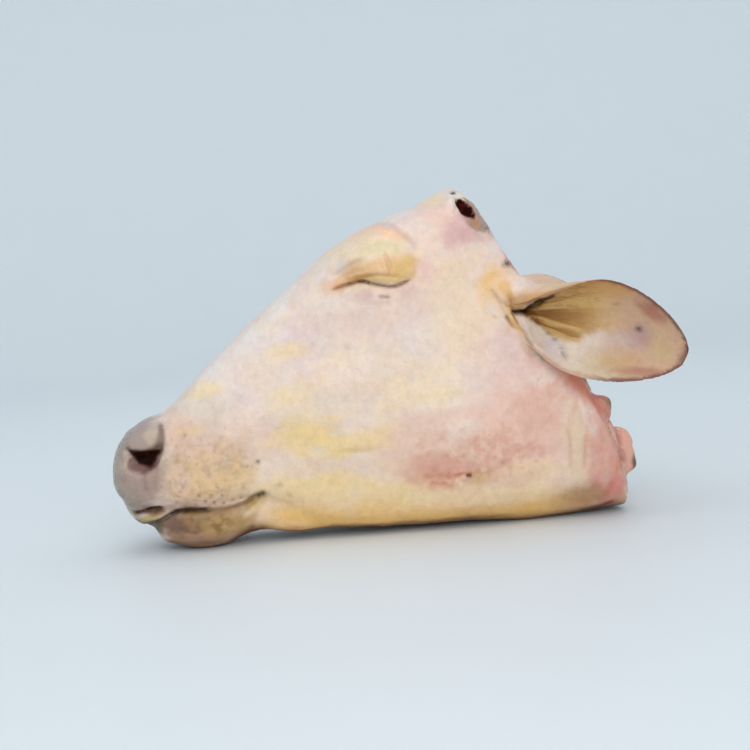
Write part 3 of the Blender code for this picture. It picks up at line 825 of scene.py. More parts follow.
TONES = {
    "cream": "#e6d2c2",
    # Painted highlight for skin that faces up, on the crown and along the top of the nose:
    "crown highlight": "#dcd4d2",
    "bridge highlight": "#dcd6d3",
    "pink": "#e2bcab",
    "deep pink": "#d29480",
    "rose": "#dcc0b8",
    "yellow": "#ecce90",
    "straw": "#e9d0a6",
    "ochre": "#e6bb72",
    "brown ochre": "#be8c52",
    # Painted shade under the jaw:
    "underside shade": "#6e4228",
    "lavender": "#dccdcd",
    "lid": "#dfb585",
    "lid rim": "#e0c58a",
    "lid bulge": "#dcb570",
    "lid shade": "#bd8946",
    "lid corner": "#e0a67f",
    # Painted shade along the folds of the upper lid:
    "lid fold": "#bd9c92",
    "lid green": "#d3c99a",
    "under eye": "#d8b6b0",
    "brow peach": "#eec09a",
    # Painted shade along the brow's fold:
    "brow fold": "#b49c96",
    "brow pink": "#e6bdb2",
    # Painted shade in the eye's slit:
    "slit": "#4c2c18",
    "slit end": "#8a5a40",
    "dash": "#a07466",
    "horn pink": "#d6a9a6",
    "horn bone": "#a98e80",
    "horn bone pale": "#b9a89c",
    "horn orange": "#b07c4c",
    "horn fringe": "#ece0bc",
    # Painted shade in the opening of the sawn horn:
    "horn hole": "#2a100a",
    "ear base": "#e0b478",
    # Painted shade along the folds at the ear's base; the first tone also colours the ear's lower
    # rim:
    "base fold": "#a8733f",
    "base fold end": "#6e3f24",
    "ear tan": "#c4925a",
    "ear brown": "#a87638",
    "ear gold": "#c8a264",
    "ear olive": "#6e4a12",
    # Partly the ear's own brown, partly painted shade in the ear's grooves:
    "ear groove": "#68390f",
    # Painted shade in the crease under the ear's roll:
    "ear crease": "#2a1206",
    "ear pale": "#dcc9b8",
    "ear lavender": "#cdc2cc",
    "ear margin": "#d2bfb0",
    "ear outer": "#d2b092",
    "ear mid": "#c8b2aa",
    "ear tip": "#c09a7a",
    "ear mauve": "#a8868a",
    "ear green": "#c0a878",
    "ear rim": "#6a3c34",
    "ear blush": "#a05e4c",
    "roll": "#c59662",
    "roll shade": "#c4ac84",
    "muzzle": "#d2b094",
    "muzzle pink": "#dabaa8",
    "muzzle high": "#d4c6b6",
    "lip yellow": "#dab886",
    "lip olive": "#93703a",
    "planum edge": "#958b7e",
    "planum mauve": "#a88f84",
    "planum high": "#8c7c76",
    # Painted highlight over the nostril:
    "planum highlight": "#cbb698",
    # Painted shade in the nostril's hollow and round its edge:
    "nostril": "#200a06",
    "nostril edge": "#5a352c",
    "nostril floor": "#80605a",
    # Painted shade of the fold behind the nostril:
    "nostril tail": "#5e3c1a",
    "chin": "#8f6d42",
    "chin mauve": "#7b5b52",
    "chin low": "#ab8466",
    "chin olive": "#bc9858",
    "lip front": "#524c38",
    # Painted shade in the mouth's gap and under the chin where it meets the floor; the softer tone
    # also flecks the chin:
    "mouth": "#2c140c",
    "mouth soft": "#735234",
    # Painted shade in the mouth's corners:
    "corner": "#33270c",
    "tongue": "#bba674",
    "tongue pink": "#b8907c",
    "tongue tip": "#484c3c",
    "jaw shade": "#5a2c18",
    "cut": "#c87c6a",
    "cut deep": "#76281e",
    # Spots of fat, and painted light on the upper lip:
    "fat spot and painted light": "#ecd0b8",
    "tan patch": "#c8a070",
    "stripe": "#dcc2a4",
    "orange line": "#d4905c",
    "rear pink": "#d39c8a",
    "rear lilac": "#d0a098",
    "rear red": "#d28c82",
    "rear low": "#a07248",
    "edge pink": "#dc9c8c",
    "edge red": "#cc765c",
    "flap": "#dfaa98",
    "flap low": "#dcb090",
    "flap shade": "#8e6258",
    "flap tip": "#46342e",
    "neck olive": "#6c5c40",
    "dark speck": "#3a2c24",
    "dark root": "#5e4024",
    "whisker root": "#94683e",
    "raw edge": "#d69c8a",
    "tuft grey": "#8a7a74",
}

# Soft ovals of tone seen from the side, in the order in which they are laid on: tone, middle,
# reach, lean in degrees, strength.
OVALS = (
    ("lavender", (-110, 196), (60, 30), 40, 0.4),
    ("lavender", (34, 214), (24, 34), 0, 0.5),
    ("straw", (78, 236), (40, 44), 20, 0.4),
    ("straw", (40, 180), (50, 30), 0, 0.2),
    ("straw", (-130, 186), (24, 20), 20, 0.3),
    ("under eye", (-4, 243), (78, 22), 8, 0.35),
    ("under eye", (24, 262), (12, 9), 0, 0.6),
    ("under eye", (-22, 262), (10, 6), 0, 0.55),
    ("rose", (134, 192), (34, 28), -50, 0.9),
    ("rose", (108, 168), (40, 30), -40, 0.5),
    ("muzzle high", (-206, 142), (40, 26), 30, 0.8),
    ("muzzle pink", (-226, 126), (22, 26), 25, 0.9),
    ("muzzle", (-205, 92), (62, 42), 10, 0.8),
    ("lip yellow", (-182, 74), (40, 20), 16, 0.7),
    ("lip yellow", (-206, 96), (18, 11), 30, 0.55),
    ("lip yellow", (-214, 133), (20, 6), 0, 0.5),
    ("muzzle high", (-244, 108), (9, 16), -20, 0.5),
    ("pink", (136, 104), (66, 66), 0, 0.95),
    ("pink", (20, 92), (44, 34), 0, 0.65),
    ("deep pink", (44, 66), (38, 24), 0, 0.7),
    ("deep pink", (100, 78), (48, 34), 0, 0.5),
    ("deep pink", (150, 128), (26, 22), 0, 0.3),
    ("tan patch", (86, 58), (16, 9), 0, 0.7),
    ("straw", (-22, 34), (70, 14), 0, 0.7),
    ("ochre", (-20, 36), (28, 12), 0, 0.6),
    ("stripe", (192, 80), (13, 52), 4, 0.85),
    ("rear pink", (228, 62), (24, 58), 4, 0.85),
    ("rear lilac", (222, 42), (14, 7), 0, 0.6),
    ("horn pink", (84, 320), (24, 16), 40, 0.85),
    ("pink", (62, 344), (20, 16), 30, 0.6),
    ("straw", (66, 356), (12, 7), 20, 0.7),
    ("brow pink", (-12, 326), (34, 9), -6, 0.7),
    ("straw", (-6, 304), (40, 24), 0, 0.7),
    ("brow peach", (10, 324), (18, 6), -20, 0.65),
    ("lid green", (2, 309), (18, 8), 0, 0.45),
    ("lid", (-6, 286), (42, 13), 8, 0.8),
    ("lid", (-34, 278), (22, 8), 20, 0.85),
    ("lid bulge", (22, 284), (17, 13), 0, 0.7),
    ("lid shade", (-22, 280), (14, 3.6), 10, 0.6),
    ("lid corner", (-52, 272), (12, 10), -20, 0.45),
    ("brow pink", (44, 282), (11, 12), 0, 0.75),
    ("ear base", (126, 252), (22, 34), 20, 0.95),
    ("roll", (150, 245), (18, 8), 20, 0.9),
    ("roll shade", (176, 263), (18, 7), 18, 0.8),
    ("planum high", (-268, 128), (28, 24), 30, 0.85),
    ("planum mauve", (-270, 86), (26, 42), -8, 0.95),
    ("planum edge", (-300, 92), (13, 48), -8, 0.8),
    ("planum edge", (-284, 58), (12, 22), -30, 0.6),
    # Painted highlight over the nostril.
    ("planum highlight", (-255, 129), (7, 10), -10, 0.5),
    ("lip olive", (-147, 54), (14, 8), 20, 0.9),
    # Painted light on the upper lip, where it turns down into shade.
    ("fat spot and painted light", (-189, 57), (22, 7), 8, 0.45),
    ("chin", (-216, 32), (50, 15), 2, 0.95),
    ("chin mauve", (-240, 30), (16, 11), -20, 0.85),
    ("chin low", (-214, 11), (50, 13), 2, 0.95),
    ("chin olive", (-184, 27), (26, 16), 4, 0.7),
    ("chin olive", (-156, 45), (9, 8), 30, 0.6),
    ("lip front", (-262, 30), (14, 12), -30, 0.85),
    ("tongue", (-266, 40), (24, 4.6), 18, 1.0),
    ("tongue pink", (-254, 45), (8, 3), 16, 0.85),
    ("tongue tip", (-282, 34), (7, 5), 0, 0.95),
    ("flap", (255, 72), (12, 26), 0, 0.95),
    ("flap low", (250, 54), (8, 10), 0, 0.8),
    ("flap tip", (264, 57), (4.5, 8), 0, 0.95),
    ("neck olive", (238, 121), (7, 9), 0, 0.9),
    ("orange line", (231, 112), (8, 8), 0, 0.7),
    ("rear red", (238, 28), (14, 16), 0, 0.85),
    ("rear low", (192, 26), (36, 13), 2, 0.8),
)
# Size of the lumps that make the edges of the ovals uneven.
OVAL_ROUGH = 14

# Patches of fat that show through the skin, in streaks along the head: as the ovals.
STREAKED = (
    ("yellow", (-92, 118), (36, 17), 4, 0.85),
    ("yellow", (-66, 106), (22, 9), 0, 0.65),
    ("yellow", (-62, 96), (18, 7), 0, 0.7),
    ("yellow", (-104, 208), (24, 9), 10, 0.5),
    ("yellow", (-194, 172), (20, 8), 20, 0.45),
    ("straw", (-110, 160), (26, 10), 0, 0.7),
    ("yellow", (-30, 108), (34, 11), 0, 0.65),
    ("tan patch", (-36, 99), (17, 3.4), 0, 0.45),
    ("yellow", (-80, 60), (48, 15), 0, 0.85),
    ("yellow", (-8, 48), (30, 12), 0, 0.6),
    ("straw", (40, 150), (40, 12), 0, 0.5),
    ("straw", (150, 62), (40, 12), 0, 0.5),
    ("pink", (60, 128), (44, 8), 0, 0.5),
)
# How far the streaks are drawn out along the head.
STREAK_LENGTH = 3.5

# Bands of tone along paths seen from the side: tone, path, width, strength.
BANDS = (
    ("straw", ((-160, 66), (-80, 52), (0, 44), (100, 38), (180, 34)), 16, 0.7),
    ("ochre", ((-150, 36), (-60, 17), (20, 13), (100, 11), (186, 11)), 17, 0.95),
    ("brown ochre", ((-136, 12), (-60, 3), (20, 0), (100, -2), (200, -2)), 7, 0.85),
    # Painted shade along the jaw's lower edge, where it meets the floor.
    ("underside shade", ((-156, 14), (-136, 6), (-60, 0), (20, -2), (100, -3), (200, -3)), 4.4, 0.95),
    ("jaw shade", ((-184, 0), (-170, 8), (-157, 15), (-140, 14)), 5.5, 0.9),
    # Painted shadow under the chin, where it meets the floor.
    ("mouth", ((-250, 1), (-215, -1), (-186, 1)), 3.4, 0.85),
    ("edge pink", ((146, 208), (161, 192), (191, 160), (222, 132)), 12, 0.7),
    ("edge red", ((186, 160), (198, 150), (210, 138), (220, 128), (229, 116)), 9.5, 0.85),
    ("edge red", ((225, 20), (236, 44), (240, 70)), 3.0, 0.6),
    ("cut deep", ((200, 5), (220, 8), (238, 14)), 3.4, 0.9),
    ("flap shade", FLAP_ROOT, 1.8, 0.85),
    # Painted shade along the folds of the brow and of the upper lid.
    ("brow fold", ((2, 335), (14, 332), (19, 327), (26, 320), (32, 314), (38, 305)), 3.2, 0.4),
    ("brow fold", ((-26, 328), (-14, 333), (2, 335)), 2.4, 0.4),
    ("lid fold", ((-46, 285), (-43, 287), (-35, 292), (-28, 296), (-20, 299)), 3.0, 0.35),
    ("lid corner", LID_CROSSING, 2.2, 0.45),
    ("lid corner", ((-46, 279), (-38, 283), (-28, 286)), 1.8, 0.5),
    ("lid shade", LID_GROOVE, 1.8, 0.45),
    ("lid rim", ((-16, 277.5), (-6, 277.5), (6, 275.5), (16, 274.5)), 2.0, 0.95),
    # Painted shade in the eye's slit, out to its front end.
    ("slit end", ((-52, 268.5), (-40, 272), (-31, 274)), 1.7, 0.75),
    ("slit", ((-36, 273), (-31, 274), (-23, 276)), 1.3, 0.7),
    ("slit", ((-26, 275.5), (-18, 275), (-13, 273)), 1.8, 0.95),
    ("slit", ((-15, 273.5), (-3, 270), (6, 268), (12, 268), (19, 270), (28, 273.5)), 1.2, 0.85),
    ("dash", ((-6, 258.3), (5, 257)), 1.8, 0.65),
    # Painted shade along the folds at the ear's base, darkest at their lower end, and along the ear's
    # border on the head.
    ("base fold", ((113, 258), (118, 248), (122, 238), (127, 226)), 2.0, 0.6),
    ("base fold", ((128, 252), (132, 242), (134, 234), (136, 226)), 1.8, 0.65),
    ("base fold end", ((126, 228), (133, 217), (143, 211.5)), 1.7, 0.85),
    ("base fold", EAR_BORDER, 1.4, 0.7),
    ("planum mauve", ((-265, 97), (-266, 86), (-266, 76)), 2.4, 0.5),
    ("nostril floor", ((-265, 95), (-266, 86), (-265, 72)), 1.8, 0.35),
    ("nostril floor", ((-290, 60), (-276, 54), (-258, 52)), 4.0, 0.5),
    # Painted shade in the gap above the tongue.
    ("mouth soft", ((-284, 46), (-275, 47), (-262, 48.8), (-250, 50.5)), 3.6, 0.75),
    ("mouth", ((-280, 46.5), (-275, 47), (-262, 48.8), (-256, 50)), 1.7, 0.9),
    ("lip olive", ((-232, 44), (-211, 44), (-190, 42), (-165, 46), (-148, 54)), 4.5, 0.8),
    # Painted shade along the back of the mouth's line.
    ("mouth soft", ((-205, 45.5), (-185, 45.5), (-172, 47), (-160, 50), (-150, 55)), 1.8, 0.55),
    ("lip front", ((-272, 29), (-262, 33), (-252, 38), (-243, 42)), 2.3, 0.95),
    # Painted shade in the mouth's gap, at the front.
    ("mouth", ((-246, 41), (-234, 45.8), (-221, 47.2), (-211, 46.4), (-201, 45.6)), 2.9, 1.0),
    ("cut", ((27, 64), (39, 62.5), (54, 62), (62, 61)), 3.6, 0.45),
    ("cut", LOW_SCRATCH, 3.8, 0.45),
    ("fat spot and painted light", ((61, 57), (66, 54), (68, 49)), 3.2, 0.9),
    ("cut", ((60, 61), (69, 62)), 2.4, 0.7),
    ("cut deep", ((73, 61), (79, 60.5)), 2.6, 1.0),
    ("orange line", ((204, 104), (204.5, 95), (203, 84)), 3.0, 0.5),
    ("rear pink", ((203, 84), (202, 72), (200, 56)), 2.6, 0.6),
    ("edge red", ((184, 104), (186, 80), (185, 60)), 2.0, 0.25),
)

# Single specks: tone, (x, z), radius and strength.
SPECKS = (
    ("dark speck", (-145, 93.5), 2.2, 0.95), ("fat spot and painted light", (-145, 93.5), 6.0, 0.2),
    # Painted shade in the mouth's corners.
    ("corner", (-147, 55.5), 3.0, 0.85), ("corner", (-142.5, 57.5), 3.2, 0.9),
    ("dark speck", (134, 281), 3.4, 0.8), ("tuft grey", (144, 278), 3.6, 0.7),
    ("tuft grey", (165, 269), 3.2, 0.7), ("tuft grey", (129, 279), 2.4, 0.5),
    ("cut", (103, 79), 2.0, 0.7), ("cut", (112, 72), 2.2, 0.7), ("cut", (148, 70), 2.0, 0.35),
    ("cut", (122, 108), 2.4, 0.25), ("muzzle pink", (-220, 128), 4.0, 0.6),
    ("whisker root", (-220, 129), 2.6, 0.6), ("cut", (-213, 141), 2.4, 0.3),
    ("whisker root", (-230, 103), 2.4, 0.4), ("tuft grey", (-78, 213), 3.4, 0.3),
    ("tuft grey", (-43, 208), 3.4, 0.3), ("tuft grey", (-49, 155), 3.4, 0.25),
    ("tuft grey", (-158, 162), 3.4, 0.25), ("dash", (-124, 66), 3.0, 0.5),
    ("dash", (-114, 53), 3.0, 0.45), ("dark speck", (95, 300), 1.4, 0.3),
    ("dark speck", (-122, 128), 1.0, 0.4), ("cut", (215, 40), 3.4, 0.35),
)

# Broken tones all over: tone, size of the clouds, how far they are drawn out along the head, where
# they begin, strength.
MOTTLES = (
    ("pink", 46, 1.0, 0.10, 0.35), ("straw", 38, 1.4, 0.12, 0.35), ("lavender", 52, 1.0, 0.2, 0.4),
    ("yellow", 12, 3.2, 0.24, 0.12), ("pink", 12, 1.6, 0.2, 0.12), ("cream", 10, 2.4, 0.2, 0.3),
    ("rose", 26, 1.2, 0.15, 0.35),
)
# How ragged a soft oval's edge is, and over which distances from its middle it fades in.
EDGE_RAGGED = 0.4
SOFT_EDGE = (1.35, 0.5)
# Fine flecks where the small vessels show: tone, size, middle, reach, strength.
FLECKED = (
    ("deep pink", 7.0, (88, 78), (92, 48), 0.45), ("deep pink", 7.5, (170, 150), (46, 50), 0.35),
    ("fat spot and painted light", 6.0, (106, 82), (60, 40), 0.4), ("cut", 5.0, (48, 57), (34, 15), 0.6),
    ("lip yellow", 7.0, (-196, 84), (58, 46), 0.5),
    ("planum mauve", 6.5, (-210, 92), (58, 46), 0.3), ("chin", 6.0, (-205, 84), (60, 44), 0.25),
    ("mouth soft", 5.5, (-214, 30), (46, 18), 0.6), ("rose", 6.0, (-214, 130), (34, 26), 0.5),
    ("rear red", 5.0, (222, 56), (20, 48), 0.4), ("rear low", 6.0, (196, 30), (40, 14), 0.4),
)

# The left nostril: the corners of its core of painted shade, and its floor and tail as (x, z,
# radius).
NOSTRIL_CORE = ((-281, 118), (-271, 101), (-258, 95), (-245, 113.5))
NOSTRIL_FLOOR = ((-276, 101, 6.5), (-266, 99, 8.5), (-257, 102, 7.0))
NOSTRIL_TAIL = ((-250, 114, 4.6), (-246, 122, 3.8), (-244, 130, 3.2), (-244, 138, 2.0))

# The fan in the ear: its low edge, the x over which its brown ends, and the crease it comes from.
EAR_FAN_LOW = ((128, 231), (142, 229), (153, 221), (163, 212), (174, 202), (184, 195), (192, 193),
               (206, 200), (222, 204), (246, 207), (270, 222))
EAR_FAN_END = (206, 250)
EAR_CREASE = ((133, 231), (148, 230.5), (158, 234), (170, 241), (176, 244))
# Soft ovals of tone on the ear, as OVALS: on its rolled outer side, in its pale lower half, on its
# blade, and where its rims are flushed.
EAR_ROLL = (
    ("roll", (152, 241), (26, 10), 24, 0.75),
    ("roll shade", (178, 256), (18, 8), 24, 0.6),
)
EAR_MARGIN = (
    ("ear margin", (160, 200), (18, 24), 40, 0.8),
    ("ear lavender", (172, 190), (12, 12), 30, 0.45),
)
EAR_BLADE = (
    ("ear green", (218, 172), (26, 14), 10, 0.5),
    ("ear green", (276, 184), (10, 14), 0, 0.6),
    ("ear mid", (238, 190), (22, 16), 0, 0.6),
    ("ear mauve", (258, 196), (12, 16), 0, 0.55),
    ("roll", (238, 176), (20, 12), 0, 0.4),
)
EAR_BLUSHES = (
    ("ear blush", (268, 222), (19, 7), -46, 0.75),
    ("ear blush", (262, 159), (30, 5), -8, 0.55),
)
# Tones of the fan: strength, the reach from the crease over which each fades, and what else it goes
# by, which is the ridges or the height over the fan's low edge.
FAN_TONES = (
    ("ear brown", 0.95, (118, 50), "ridge", (0.45, -0.35)),
    # The two ear groove rows are partly the ear's own brown and partly painted shade: in the fan's
    # grooves, and all round near its crease.
    ("ear groove", 0.6, (90, 26), "ridge", (-0.05, -0.6)),
    ("ear olive", 0.85, (70, 20), "height", (12, 3)),
    ("ear groove", 0.75, (30, 10), "ridge", (0.7, -0.1)),
)
# Where the roll grows out of the head: middle, reach and lean.
ROLL_ROOT = ((141, 244), (12, 9), 20)
# The fold of skin in front of the ear's root, and dark spots in the ear: middle, reach, strength.
EAR_BASE_FOLD = ((128, 258), (131, 246), (134, 236), (138, 223), (145, 213))
EAR_SPOTS = (
    ((182, 184), (2.0, 5), 0.75), ((257, 204), (3.2, 3.0), 0.9), ((170, 205), (2.4, 2.4), 0.5),
    ((176, 198), (3, 2), 0.5), ((236, 232), (2, 2), 0.4),
)

# Rusty bone and a clot of blood on the sawn horn: middle, reach and lean.
RUSTY_BONE = ((104, 327), (4.5, 7), 20)
BLOOD_CLOT = ((91, 336), (5, 6), 0)
# Middle and reach of the part of the muzzle that is speckled all over by fine hair roots.
SPECKLED_MUZZLE = ((-212, 82), (74, 66))
# Shares of red, green and blue in brightness, and between which brightnesses a tone is a hollow's.
BRIGHTNESS_SHARES = (0.21, 0.72, 0.07)
HOLLOW_BRIGHTNESS = (0.12, 0.03)


class Paint:
    """The colour of every point of a skin, laid on tone by tone."""

    def __init__(self, points, base):
        self.points = points
        self.colour = np.tile(rgb(TONES[base]), (len(points), 1))

    def lay(self, tone, mask):
        """Lays a tone over the points by mask, 0 to 1."""
        self.colour = laid_over(self.colour, rgb(TONES[tone]), np.clip(mask, 0, 1))


def drawn_out(points, length):
    """Points squeezed along the head, so that a pattern on them is drawn out by that much."""
    return points / np.array([length, 1, 1])


def paint_skin(paint, flat, sideways):
    """Clouds, ovals, streaks and bands of tone."""
    points = paint.points
    for i, (tone, size, length, begin, strength) in enumerate(MOTTLES):
        clouds = cloudy(drawn_out(points, length), size, 40 + 5 * i)
        paint.lay(tone, strength * ease(clouds, begin - 0.15, begin + 0.25))
    rough = cloudy(points, OVAL_ROUGH, 90)
    for tone, at, reach, lean, strength in OVALS:
        away = oval_distance(flat, at, reach, lean)
        paint.lay(tone, sideways * strength * ease(away + EDGE_RAGGED * rough, *SOFT_EDGE))
    streaks = cloudy(drawn_out(points, STREAK_LENGTH), 7, 92)
    for tone, at, reach, lean, strength in STREAKED:
        away = oval_distance(flat, at, reach, lean)
        paint.lay(tone, sideways * strength * ease(away + 0.75 * streaks, *SOFT_EDGE))
    for i, (tone, size, at, reach, strength) in enumerate(FLECKED):
        near = ease(oval_distance(flat, at, reach, 0), 1.2, 0.5)
        flecks = ease(cloudy(points, size, 200 + 5 * i), 0.05, 0.4)
        paint.lay(tone, sideways * strength * near * flecks)
    fine = lumps(points, 5, 95)
    for tone, path, width, strength in BANDS:
        away, along = distance_to_path(flat, path)
        ends = np.clip(0.3 + 8 * np.minimum(along, 1 - along), 0, 1)
        mask = bell(away / width * (1 + 0.25 * fine))
        paint.lay(tone, sideways * strength * ends * mask)


def paint_spots(paint, flat, sideways):
    """Whisker roots, spots of fat, and specks."""
    for field in WHISKER_FIELDS.values():
        near, shows = nearest_root(flat, whisker_roots(field))
        paint.lay("whisker root", 0.45 * shows**2 * sideways * bell(near / (0.9 * field["root"])))
    near, shows = nearest_root(flat, DARK_ROOTS)
    paint.lay("fat spot and painted light", 0.15 * sideways * bell(near / 4.0))
    paint.lay("dark root", 0.75 * shows * sideways * bell(near / 2.1))
    for at, radius, _ in CHEEK_PIMPLES:
        paint.lay("fat spot and painted light", 0.4 * sideways * bell(spot_distance(flat, at, 0.9 * radius)))
    for tone, at, radius, strength in SPECKS:
        paint.lay(tone, strength * sideways * bell(spot_distance(flat, at, radius)))


def tube_distance(flat, tube):
    """Distance from a bent tube given as (x, z, radius), 1 on its edge."""
    tube = np.array(tube, float)
    away, along = distance_to_path(flat, tube[:, :2])
    return away / np.interp(along * (len(tube) - 1), range(len(tube)), tube[:, 2])


def inside_corners(flat, corners):
    """How deep inside a figure of straight sides each point lies. Its corners turn leftwards."""
    corners = np.array(corners, float)
    deep = np.full(len(flat), np.inf)
    for start, end in zip(corners, np.roll(corners, -1, axis=0)):
        along = (end - start) / np.linalg.norm(end - start)
        deep = np.minimum(deep, (flat - start) @ np.array([-along[1], along[0]]))
    return deep


def paint_nostrils(paint, flat, sideways):
    """Paints shade into the hollow of the nostrils and along its tail, and tones its floor."""
    rough = 0.18 * lumps(paint.points, 6, 97)
    floor = tube_distance(flat, NOSTRIL_FLOOR) + rough
    paint.lay("nostril floor", 0.85 * sideways * ease(floor, 1.35, 0.7))
    # Painted shade of the fold behind the nostril.
    tail = tube_distance(flat, NOSTRIL_TAIL) + rough
    paint.lay("nostril tail", 0.65 * sideways * ease(tail, 2.0, 0.4))
    # Painted shade in the nostril's hollow, with a dark edge round it.
    core = inside_corners(flat, NOSTRIL_CORE) + 5 * rough
    paint.lay("nostril edge", 0.85 * sideways * ease(core, -2.5, 1.5))
    paint.lay("nostril", sideways * ease(core, -2.0, 3.0) * ease(flat[:, 1], 93, 101))


def paint_horns(paint, left, flat):
    """The sawn horn core, its opening, and the skin's ragged fringe round it."""
    out, radial = horn_place(left)
    rough = cloudy(left, 6, 60)
    ragged = radial + 2.6 * rough
    end = ease(out + 2 * rough, -8, -4)
    bone = end * ease(ragged, HORN_RADIUS - 4, HORN_RADIUS - 8) * ease(flat[:, 0] + 3 * rough, 92, 99)
    paint.lay("horn bone", bone)
    paint.lay("horn bone pale", 0.7 * bone * ease(flat[:, 0] + 5 * rough, 112, 118))
    paint.lay("horn orange", 0.8 * bone * ease(oval_distance(flat, *RUSTY_BONE), 1.3, 0.4))
    fringe = ease(out, -12, -3) * ease(ragged, HORN_RADIUS + 8, HORN_RADIUS + 2) * (1 - bone)
    paint.lay("horn fringe", 0.85 * fringe * ease(flat[:, 1], 346, 354) * ease(flat[:, 0], 90, 97))
    paint.lay("horn pink", 0.5 * fringe * ease(flat[:, 1], 345, 335))
    opening = horn_opening(left, flat)
    # Painted shade in the opening of the sawn horn, tinged red by blood.
    dark = ease(opening * (1 + 0.7 * lumps(left, 4.2, 64)), 0.08, 0.4)
    paint.lay("cut deep", 0.5 * ease(opening, 0.0, 0.3))
    paint.lay("horn hole", dark)
    paint.lay("cut deep", 0.3 * dark * ease(lumps(left, 4.5, 65), 0.1, 0.6))
    clot = ease(oval_distance(flat, *BLOOD_CLOT), 1.2, 0.5)
    paint.lay("cut deep", 0.5 * bone * (1 - dark) * clot)


def ear_zones(flat, ear, root):
    """How much a point is of the ear's inner side, its outer side, and the skin before its root."""
    x, z = flat.T
    front, under = root_border(flat)
    on_roll = ease(z - under, -0.5, 1.5) * ease(x, 200, 184)
    before = ease(x - front, 0.5, -2.5) * ease(z, 244, 236)
    inner = np.maximum(ear["inner"] * (1 - on_roll), root) * (1 - before)
    return inner, np.clip(ear["on"] * (1 - before) - inner, 0, 1), before


def paint_ears(paint, flat, ear, root):
    """The ear's outer side and roll, its pale lower half, its blade and its brown fan."""
    rough = cloudy(paint.points, 14, 70)
    fine = cloudy(paint.points, 6, 71)
    ridge, reach = fan_of(flat)
    x, z = flat.T
    inner, outer, before = ear_zones(flat, ear, root)
    free = ease(ear["along"], 0.22, 0.4)

    def lay_ovals(rows):
        for tone, at, size, lean, strength in rows:
            away = oval_distance(flat, at, size, lean) + EDGE_RAGGED * fine
            paint.lay(tone, strength * inner * ease(away, 1.35, 0.4))

    paint.lay("ear outer", 0.85 * outer * free)
    paint.lay("pink", 0.5 * outer * free * ease(rough, 0, 0.4))
    for tone, at, size, lean, strength in EAR_ROLL:
        paint.lay(tone, strength * outer * ease(oval_distance(flat, at, size, lean), 1.3, 0.5))
    paint.lay("ear pale", inner)
    lay_ovals(EAR_MARGIN)
    paint.lay("ear tip", 0.9 * inner * ease(x + 14 * rough, 205, 240))
    lay_ovals(EAR_BLADE)
    low = read_off(EAR_FAN_LOW, x)
    fan = inner * ease(z - low + 5 * fine, -4, 5)
    brown = fan * ease(x + 18 * rough, EAR_FAN_END[1], EAR_FAN_END[0])
    paint.lay("ear gold", 0.95 * brown)
    paint.lay("ear tan", 0.9 * fan * ease(z + 8 * rough, 232, 250) * ease(x, 262, 240))
    measures = {"ridge": ridge, "height": z - low}
    for tone, strength, reaches, measure, limits in FAN_TONES:
        paint.lay(tone, strength * fan * ease(reach, *reaches) * ease(measures[measure], *limits))
    paint.lay("ear gold", 0.45 * brown * ease(ridge, 0.3, 0.9) * ease(reach, 20, 50))
    lay_ovals(EAR_BLUSHES)
    # Painted shade in the crease under the ear's roll, narrowing towards its end.
    crease, along = distance_to_path(flat, EAR_CREASE)
    paint.lay("ear crease", 0.95 * inner * bell(crease / (4.2 - 2.2 * along)))
    for at, reach_xz, strength in EAR_SPOTS:
        paint.lay("dark speck", strength * inner * bell(oval_distance(flat, at, reach_xz, 0)))
    edge = np.abs(ear["across"]) + 0.02 * fine
    paint.lay("ear rim", 0.85 * ear["on"] * free * ease(edge, 0.92, 0.985) * ease(x, 190, 225))
    paint.lay("base fold", 0.5 * ear["on"] * free * ease(edge, 0.94, 1.0) * ease(x, 225, 190))
    paint.lay("ear rim", 0.8 * ear["on"] * ease(ear["along"], 0.965, 1.0))
    paint_ear_base(paint, flat, inner, before, fine)


def paint_ear_base(paint, flat, inner, before, fine):
    """The yellow skin and the folds before the ear's root, and the root of its roll."""
    off_middle = paint.points[:, 1] ** 2
    fold, along = distance_to_path(flat, EAR_BASE_FOLD)
    before = np.maximum(before, ease(flat[:, 0], 136, 130)) * ease(off_middle, 3000, 5000)
    paint.lay("ear base", 0.85 * before * ease(fold + 2 * fine, 11, 4))
    root_of_roll = ease(oval_distance(flat, *ROLL_ROOT), 1.3, 0.4) * ease(off_middle, 7000, 9000)
    paint.lay("roll", 0.7 * (1 - inner) * root_of_roll)
    # Painted shade along the fold before the ear's root, darkest at its end.
    paint.lay("base fold", 0.75 * before * bell((fold - 1.5) / 2.0) * ease(along, 0, 0.3))
    paint.lay("base fold end", 0.8 * before * bell(fold / 2.2) * ease(along, 0.6, 0.9))


